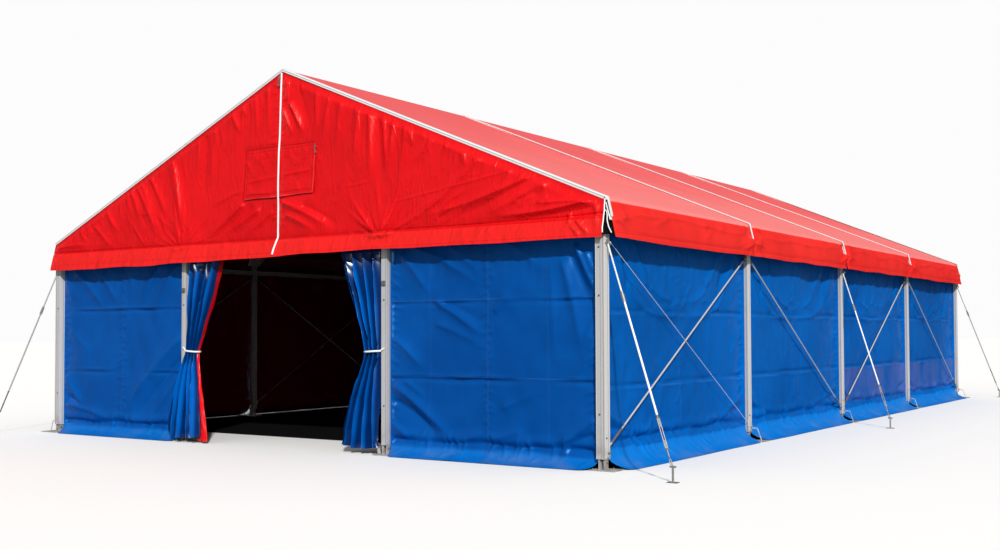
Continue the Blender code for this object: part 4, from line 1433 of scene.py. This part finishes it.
# Door curtains
# The two door leaves are blue PVC lined with red. They hang from the header in broad pleats, are drawn in
# to the posts by white cords at waist height, and spread again below them.
pleats = 4
leaf_top = 2.655
tie_height = 1.28
leaf_flat = (1.84, 2.65)
curtains = {
    "left": (
        (0.08, -2.145, -1.53, -8.150, 0.092),
        (0.30, -2.12, -1.540, -8.145, 0.096),
        (0.70, -2.05, -1.565, -8.135, 0.096),
        (1.05, -1.940, -1.610, -8.105, 0.088),
        (1.28, -1.880, -1.650, -8.066, 0.060),
        (1.50, -1.895, -1.585, -8.035, 0.086),
        (1.90, -1.905, -1.460, -8.016, 0.096),
        (2.30, -1.910, -1.345, -8.008, 0.086),
        (2.655, -1.920, -1.290, -8.003, 0.034),
    ),
    "right": (
        (0.08, 1.02, 1.68, -8.015, 0.097),
        (0.30, 1.06, 1.67, -8.012, 0.103),
        (0.70, 1.19, 1.68, -8.010, 0.106),
        (1.05, 1.365, 1.70, -8.010, 0.097),
        (1.28, 1.455, 1.722, -8.008, 0.068),
        (1.50, 1.405, 1.725, -8.006, 0.094),
        (1.90, 1.260, 1.710, -8.004, 0.106),
        (2.30, 1.080, 1.690, -8.002, 0.097),
        (2.655, 0.960, 1.650, -8.003, 0.034),
    ),
}


def at_height(stations, z):
    """The left and right edge, the middle and the depth of a gathered sheet at its heights."""
    table = np.array(stations)
    return (np.interp(z, table[:, 0], table[:, column]) for column in (1, 2, 3, 4))


def curtain_surface(stations, across, heights, seed):
    """Points of a pleated leaf from its place across (0 to 1) and its height."""
    share, z = np.meshgrid(across, heights)
    left, right, middle, depth = at_height(stations, z)
    draw = np.random.default_rng(seed)
    pick = draw.uniform
    uneven = share + 0.030 * np.sin(share * 7.0 + seed) * np.sin(math.pi * share)
    uneven += 0.012 * slack(share, z * 0.30, 0.5, seed + 1) * np.sin(math.pi * share)
    angle = 2 * math.pi * pleats * uneven + 0.45 * slack(share * 0.5, z, 1.6, seed + 2)
    off_tie = smooth(0.15, 1.0, np.abs(z - tie_height))
    size = 0.92 + 0.30 * np.sin(share * 15.0 + pick(0, 6)) * off_tie
    pleat = np.sin(angle) * 0.90 + 0.12 * np.sin(2 * angle + 1.0)
    wide = right - left
    x = left + wide * uneven + 0.11 * wide / pleats * np.sin(2 * angle + 0.4)
    x = np.clip(x, left - 0.012, right + 0.012)
    y = middle + depth * size * pleat
    creases = np.zeros_like(x)
    for _ in range(54):
        start = (pick(0.0, 1.0) * 0.8, draw.choice((1.32, 1.24, pick(0.1, 2.5))))
        length = pick(0.10, 0.42)
        turned = pick(0.9, 2.2) * draw.choice((-1, 1))
        end = (start[0] + length * math.cos(turned), start[1] + length * math.sin(turned))
        creases += pick(-0.018, 0.024) * fold(share * 0.8, z, start, end, 0.018, 0.02)
    spread_low = smooth(0.5, 0.05, z)
    x = x + 0.010 * spread_low * slack(share * 2.0, z, 0.4, seed + 4)
    y = y + creases + 0.006 * slack(share * 2.0, z * 1.2, 0.5, seed + 3)
    hem = 0.016 * spread_low * np.sin(share * 6.0 + 1.0)
    return x, y, z + hem * smooth(0.35, 0.05, z)


def pleat_shade(place, colour):
    """Painted shade: the backs of the pleats are given a dark blue."""
    left = place.axis("X").rise(0.2, -0.2)
    middle = left * (place.axis("Z") * 0.066 - 0.145) - 8.010
    behind = (place.axis("Y") - middle).rise(-0.095, -0.030)
    return (behind * 0.9).blend(colour, (0.0, 0.010, 0.070))


def shaded_side(place, colour):
    """Painted shade: above the tie the lining is deep red, where it is folded behind the leaf."""
    high = place.axis("Z").rise(1.0, 1.5)
    return (high * 0.8).blend(colour, (0.22, 0.001, 0.003))


curtain_blue = pvc(
    "curtain_blue", (0.000, 0.088, 0.41), (0.000, 0.130, 0.57), 0.20, 0.55, (0.80, 0.92, 1.0),
    painted_light_and_tint=pleat_shade,
)
lining_red = pvc(
    "lining_red", (0.52, 0.002, 0.004), (0.74, 0.004, 0.006), 0.24, 0.25, (1.0, 0.6, 0.6),
    painted_light_and_tint=shaded_side,
)
heights = np.concatenate(
    (np.linspace(0.03, 1.20, 66), np.linspace(1.20, 1.40, 18)[1:], np.linspace(1.40, leaf_top, 60)[1:])
)
for side, stations in curtains.items():
    foot = stations[0][0]
    levels = foot + (heights - heights[0]) * (leaf_top - foot) / (leaf_top - heights[0])
    cloth(
        f"door_leaf_{side}",
        *curtain_surface(stations, np.linspace(0, 1, 130), levels, 900 if side == "left" else 930),
        "curtain_pvc",
        curtain_blue,
        f"door_curtain_{side}",
        flat=leaf_flat,
        held="gathered",
        rests_on=["door_header", f"gable_post_front_{side}"],
    )

lining_shows = (0.17, 0.14, 0.085, 0.040, 0.010, 0.025, 0.045, 0.075, 0.110)  # beyond the left leaf
lining = [
    (height, right - 0.06, right + shows, middle + 0.020, depth * 0.45)
    for (height, left, right, middle, depth), shows in zip(curtains["left"], lining_shows)
]
share, z = np.meshgrid(np.linspace(0, 1, 24), heights)
left, right, middle, depth = at_height(lining, z)
cloth(
    "door_lining_left",
    left + (right - left) * share + 0.006 * slack(share * 0.3, z, 0.5, 951),
    middle + depth * np.sin(share * 5.2 + 0.8) * 0.8 + 0.006 * slack(share, z, 0.4, 952),
    z,
    "gable_pvc",
    lining_red,
    flat=(0.16, leaf_flat[1]),
    held="hung",
    rests_on=["door_header"],
)


def ring_round(middle, first, second, steps):
    """Points round an ellipse with these half axes, ending where they begin."""
    turns = [2 * math.pi * step / steps for step in range(steps + 1)]
    return [middle + first * math.cos(turn) + second * math.sin(turn) for turn in turns]


ties = {"left": (-1.905, -1.625, -8.062, 1.288, -0.010), "right": (1.450, 1.745, -8.008, 1.300, 0.008)}
for side, (left, right, middle, height, tilt) in ties.items():
    shape = bmesh.new()
    centre = Vector(((left + right) / 2, middle, height))
    half = Vector(((right - left) / 2, 0, tilt))
    tube(shape, ring_round(centre, half, Vector((0, 0.078, 0)), 32), 0.013)
    near = left if side == "left" else right
    post = post_lines[side]
    to_post = [(near, middle, height + 0.01), ((near + post) / 2, -8.06, 1.325), (post, -8.045, 1.340)]
    tube(shape, to_post, 0.012)
    as_piece(f"curtain_tie_{side}", shape, cord_white, 60)


# Braces
# Galvanised rods brace the side bays, each with an eye at the upper end and a turnbuckle at the lower
# one, and a thin cable on each side crosses one of them.


def galvanised(name, tone, metal):
    """Zinc with a faint spangle and some rust; a low metal share keeps it pale under a white sky."""
    made, place, shader = new_finish(name)
    spangle = place.noise(46.0, 2.0, 0.4)
    rust = place.noise(5.0, 5.0, 0.7, seed=4.0).rise(0.56, 0.74)
    zinc = spangle.blend(tuple(value * 0.75 for value in tone), tone)
    feed(
        shader,
        base_color=(rust * 0.45).blend(zinc, (0.20, 0.14, 0.10)),
        roughness=spangle.spread(0.36, 0.56),
        metallic=metal,
        normal=bumped(spangle, 0.0006),
    )
    return made


brace_zinc = galvanised("brace_zinc", (0.66, 0.66, 0.65), 0.25)
rope_steel = galvanised("rope_steel", (0.74, 0.74, 0.74), 0.10)
brace_low, brace_high = 0.25, 2.56
brace_planes = {"right": half_width - 0.028, "left": -(half_width - 0.095)}
turnbuckle = ((0.10, 0.34, 0.0145, 6), (0.085, 0.10, 0.018, 12), (0.34, 0.355, 0.018, 12))
for side, x in brace_planes.items():
    dress(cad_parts[f"brace_cable_{side}"], rope_steel)
    for number, line in zip(frames[:-1], frame_lines):
        dress(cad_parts[f"brace_{side}_{number}"], brace_zinc)
        rising = number % 2 == 1
        foot_y, head_y = (line, line + bay) if rising else (line + bay, line)
        inwards = 1 if rising else -1
        foot_at = Vector((x, foot_y + inwards * (leg_width / 2 + 0.006), brace_low))
        head_at = Vector((x, head_y - inwards * (leg_width / 2 + 0.006), brace_high))
        along = (head_at - foot_at).normalized()
        shape = bmesh.new()
        for start, stop, radius, count in turnbuckle:
            rod_between(shape, foot_at + along * start, foot_at + along * stop, radius, count)
        rod_between(shape, head_at - along * 0.11, head_at - along * 0.05, 0.015, 12)
        for place, way in ((foot_at, inwards), (head_at, -inwards)):
            low_corner = (x - 0.016, place.y, place.z - 0.045)
            block_between(shape, low_corner, (x + 0.016, place.y + way * 0.02, place.z + 0.045), 0.003)
            outer_face = Vector((math.copysign(0.016, x), way * 0.010, 0.0))
            bolt(shape, place + outer_face, (x, 0, 0), 0.008)
        as_piece(f"brace_ends_{side}_{number}", shape, bolt_zinc)


# Guys
# Six stays hold the tent down: a hook on the leg, a thin cable to a grip, rope to an open turnbuckle,
# and a link on a steel peg. Three are white and three grey. They are pulled tight and run straight.
guy_top = 2.53
peg_height = 0.13
guys = {  # side, frame line, how far out and forward the peg is, and whether the rope is white
    "front_right": (1, frame_lines[0], 1.08, 0.56, True),
    "front_left": (-1, frame_lines[0], 0.78, 0.56, False),
    "middle_right": (1, frame_lines[2], 1.08, 1.00, True),
    "middle_left": (-1, frame_lines[2], 1.08, 1.00, True),
    "rear_right": (1, frame_lines[4], 0.78, -0.56, False),
    "rear_left": (-1, frame_lines[4], 0.78, -0.56, False),
}
cable_end = 0.245  # along a guy, as a share of it
grip_end = 0.280
rope_shares = (0.275, 0.40, 0.52, 0.65, 0.775)
buckle_shares = (0.787, 0.915)
screw_shares = ((0.760, 0.825), (0.880, 0.950))
link_share = 0.972


def twisted(shape, start, end, radius, pitch, strands=3):
    """Laid rope between two points: strands that wind round a straight line."""
    along = end - start
    first = along.cross(Vector((0, 0, 1))).normalized()
    second = along.normalized().cross(first)
    count = max(int(along.length / pitch * 6), 4)
    for strand in range(strands):
        points = []
        for step in range(count + 1):
            share = step / count
            angle = 2 * math.pi * (share * along.length / pitch + strand / strands)
            offset = first * math.cos(angle) + second * math.sin(angle)
            points.append(start + along * share + offset * radius * 0.5)
        tube(shape, points, radius * 0.56, 6)


def guy_finish():
    """White synthetic rope with the fine grain of its braid, a little dirty."""
    made, place, shader = new_finish("guy_finish")
    dirt = place.noise(9.0, 4.0, 0.65).rise(0.42, 0.72)
    feed(
        shader,
        base_color=(dirt * 0.25).blend((0.90, 0.90, 0.89), (0.52, 0.50, 0.47)),
        roughness=dirt.spread(0.5, 0.7),
        normal=bumped(place.noise(220.0, 2.0), 0.0008),
    )
    return made


white_rope = guy_finish()
grey_rope = galvanised("grey_rope", (0.42, 0.42, 0.42), 0.05)
fitting_steel = galvanised("fitting_steel", (0.36, 0.35, 0.33), 0.55)
stay_steel = galvanised("stay_steel", (0.84, 0.84, 0.83), 0.1)
for name, (sign, y, out, forward, white) in guys.items():
    eye = Vector((sign * (half_width + 0.0103), y, guy_top))
    peg = Vector((sign * (half_width + out), y - forward, peg_height))
    run = peg - eye
    across = run.cross(Vector((0, 0, 1))).normalized() * 0.014
    shape = bmesh.new()
    plate = Vector((sign * -0.009, 0.022, 0.034))
    block_between(shape, eye - Vector((0, 0.022, 0.034)), eye + plate, 0.002)
    bolt(shape, eye + Vector((0, 0, 0.018)), (sign, 0, 0), 0.008)
    hook_middle = eye + Vector((sign * 0.020, 0, -0.012))
    hook = ring_round(hook_middle, Vector((sign * 0.020, 0, 0)), Vector((0, 0, 0.022)), 16)
    tube(shape, hook, 0.006, 6)
    rod_between(shape, eye + run * cable_end, eye + run * grip_end, 0.020, 8)
    rod_between(shape, eye + run * 0.232, eye + run * cable_end, 0.017, 8)
    half_bar = across * 1.3
    for share in buckle_shares:
        rod_between(shape, eye + run * share - half_bar, eye + run * share + half_bar, 0.010, 10)
    for way in (-1, 1):
        upper, lower = (eye + run * share + across * way for share in buckle_shares)
        rod_between(shape, upper, lower, 0.0055, 8)
    for upper, lower in screw_shares:
        rod_between(shape, eye + run * upper, eye + run * lower, 0.0075, 10)
    tube(shape, ring_round(eye + run * link_share, run.normalized() * 0.045, across * 0.8, 20), 0.006, 6)
    rod_between(shape, (peg.x, peg.y, 0.002), (peg.x, peg.y, peg_height + 0.045), 0.0115, 12)
    bar = Vector((0.035, 0, 0))
    on_peg = peg + Vector((0, 0, 0.032))
    rod_between(shape, on_peg - bar, on_peg + bar, 0.009, 10)
    foot = Vector((peg.x, peg.y, 0.0045))
    half_plate = Vector((0.06, 0.035, 0.0035))
    block_between(shape, foot - half_plate, foot + half_plate, 0.002)
    fittings = as_piece(f"guy_fittings_{name}", shape, fitting_steel)
    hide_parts(f"guy_{name}")
    shape = bmesh.new()
    twisted(shape, eye + run * 0.010, eye + run * cable_end, 0.0105, 0.09)
    as_piece(f"guy_cable_{name}", shape, stay_steel if white else grey_rope, 80)
    shape = bmesh.new()
    tube(shape, [eye + run * share for share in rope_shares], 0.0115, 12)
    as_piece(f"guy_rope_{name}", shape, white_rope if white else grey_rope, 80)


# Corner lacing
# At each corner a black sheet fills the gap between the gable's hem and the roof valance: painted shade,
# standing for the shadow in that gap. One white cord runs down beside the hem, and a second one crosses
# the sheet from its middle to its foot.
# Painted shade: a plain black, dull finish for the shadowed gap at the corners.
gap_shade_black, place, shader = new_finish("gap_shade_black")
feed(
    shader,
    base_color=place.noise(20.0, 3.0).blend((0.002, 0.002, 0.002), (0.008, 0.007, 0.007)),
    roughness=0.9,
    specular_ior_level=0.02,
)
lacing_paths = (  # steps up the strip, and shares of the way across it
    ((23, 0.02), (18, 0.0), (15, 0.03), (12, 0.0), (8, 0.02), (4, 0.0), (1, 0.04)),
    ((16, 0.05), (15, 0.35), (13, 0.40), (9, 0.42), (5, 0.52), (1, 0.70)),
)
level = np.linspace(2.61, 2.95, 24)
share = np.linspace(0.0, 1.0, 9)[:, None]
bow = 0.016 * np.sin(math.pi * share)
for end, line, sign in ends:
    for side, way in sides.items():
        hem_line = gable_point(np.full((1, 24), way * (eave_reach - 0.006)), level[None, :], sign)
        gable_x, gable_y = hem_line[0][0], hem_line[1][0]
        fallen = np.clip((eave_height - level) / valance_drop, 0, 1)
        valance_x = way * (eave_reach - 0.006 + valance_flare * fallen)
        valance_y = line - sign * 0.014
        web_x = gable_x + (valance_x - gable_x) * share - way * bow
        web_y = gable_y + (valance_y - gable_y) * share - sign * bow
        web_y = np.where(sign * (web_y - line) > 0.012, web_y - sign * 0.004, web_y)
        web_z = np.tile(level + propped(np.full(24, way * eave_reach), level), (9, 1))
        cloth(
            f"corner_shade_web_{end}_{side}",
            web_x,
            web_y,
            web_z,
            "gable_pvc",
            gap_shade_black,
            flat=(0.14, 0.35),
            held="hung",
            rests_on=[f"gable_cover_{end}"],
        )
        shape = bmesh.new()
        for path in lacing_paths:
            route = []
            for step, across in path:
                x = gable_x[step] + (valance_x[step] - gable_x[step]) * across
                y = gable_y[step] + (valance_y - gable_y[step]) * across
                route.append(Vector((x + way * 0.010, y + sign * 0.010, web_z[0][step])))
            tube(shape, route, 0.0075, 6)
        as_piece(f"corner_lacing_{end}_{side}", shape, cord_white, 60)


# Floor, light and view
# A plain pale floor, painted near black inside the tent as painted shade, and plain soft light from a
# white sky and a soft-edged sun. A second, low sun shows only as a gleam in gloss. The camera stands where
# the photograph was taken from.
floor_size = 400.0
shape = bmesh.new()
bmesh.ops.create_grid(shape, x_segments=1, y_segments=1, size=floor_size / 2)
floor_mesh = bpy.data.meshes.new("floor")
shape.to_mesh(floor_mesh)
shape.free()
floor = bpy.data.objects.new("floor", floor_mesh)
bpy.context.scene.collection.objects.link(floor)
floor_finish, place, shader = new_finish("floor_finish")
# Painted shade: under the tent the floor is near black, except a strip inside the door where the sun falls
# in.
shaded_inside = abs(place.axis("X")).rise(5.08, 5.04) * abs(place.axis("Y")).rise(8.08, 8.04)
threshold = abs(place.axis("X")).rise(4.5, 4.4) * place.axis("Y").rise(-6.84, -6.88)
seen = place.add("ShaderNodeLightPath")
glossy_ray = place.add("ShaderNodeLightPath", output=3)
ground = seen.blend((0.32, 0.32, 0.32), (0.824, 0.823, 0.815))
ground = glossy_ray.blend(ground, (0.03, 0.03, 0.03))
feed(
    shader,
    base_color=(shaded_inside * (1.0 - threshold)).blend(ground, (0.006, 0.006, 0.007)),
    roughness=0.9,
    specular_ior_level=0.02,
)
dress(floor, floor_finish)

scene = bpy.context.scene
scene.view_settings.view_transform = "Standard"
world = bpy.data.worlds.new("studio")
world.use_nodes = True
scene.world = world
backdrop = world.node_tree.nodes["Background"]
rays = world.node_tree.nodes.new("ShaderNodeLightPath")
seen = Line(rays.outputs["Is Camera Ray"])
glossy_ray = Line(rays.outputs["Is Glossy Ray"])
backdrop.inputs["Color"].default_value = (1.0, 1.0, 1.0, 1.0)
strength = seen * 0.335 - glossy_ray * 0.60 + 0.64
world.node_tree.links.new(strength.socket, backdrop.inputs["Strength"])


def sunlight(name, energy, width, direction, colour=(1.0, 1.0, 1.0)):
    """A sun that stands in a direction and is as wide as this angle in degrees."""
    light = bpy.data.lights.new(name, "SUN")
    light.energy = energy
    light.angle = math.radians(width)
    light.color = colour
    sun = bpy.data.objects.new(name, light)
    sun.rotation_euler = Vector(direction).to_track_quat("Z", "Y").to_euler()
    scene.collection.objects.link(sun)
    return sun


sunlight("key", 3.6, 2.5, (1.1, -1.2, 1.02), (1.0, 0.985, 0.96))
gleam = sunlight("gleam", 0.9, 3.0, (0.654, -0.752, 0.087))
gleam.visible_diffuse = False

picture_width, picture_height = 1000, 550
focal = 1147.65  # in pixels of the photograph
yaw, pitch, roll = 0.5706, 0.0315, -0.0048
eye = Vector((11.3637, -19.0606, 1.5332))
middle_x, middle_y = 551.28, 296.00  # where the axis meets the picture
ahead = Vector((-math.sin(yaw) * math.cos(pitch), math.cos(yaw) * math.cos(pitch), math.sin(pitch)))
level = Vector((math.cos(yaw), math.sin(yaw), 0.0))
upright = level.cross(ahead)
right = level * math.cos(roll) + upright * math.sin(roll)
up = upright * math.cos(roll) - level * math.sin(roll)
sensor_width = 36.0
camera_data = bpy.data.cameras.new("camera")
camera_data.sensor_width = sensor_width
camera_data.lens = focal / picture_width * sensor_width
camera_data.shift_x = (picture_width / 2 - middle_x) / picture_width
camera_data.shift_y = (middle_y - picture_height / 2) / picture_width
camera_data.clip_end = 1000.0
camera = bpy.data.objects.new("camera", camera_data)
turned = Matrix((right, up, -ahead)).transposed().to_4x4()
camera.matrix_world = Matrix.Translation(eye) @ turned
scene.collection.objects.link(camera)
scene.camera = camera
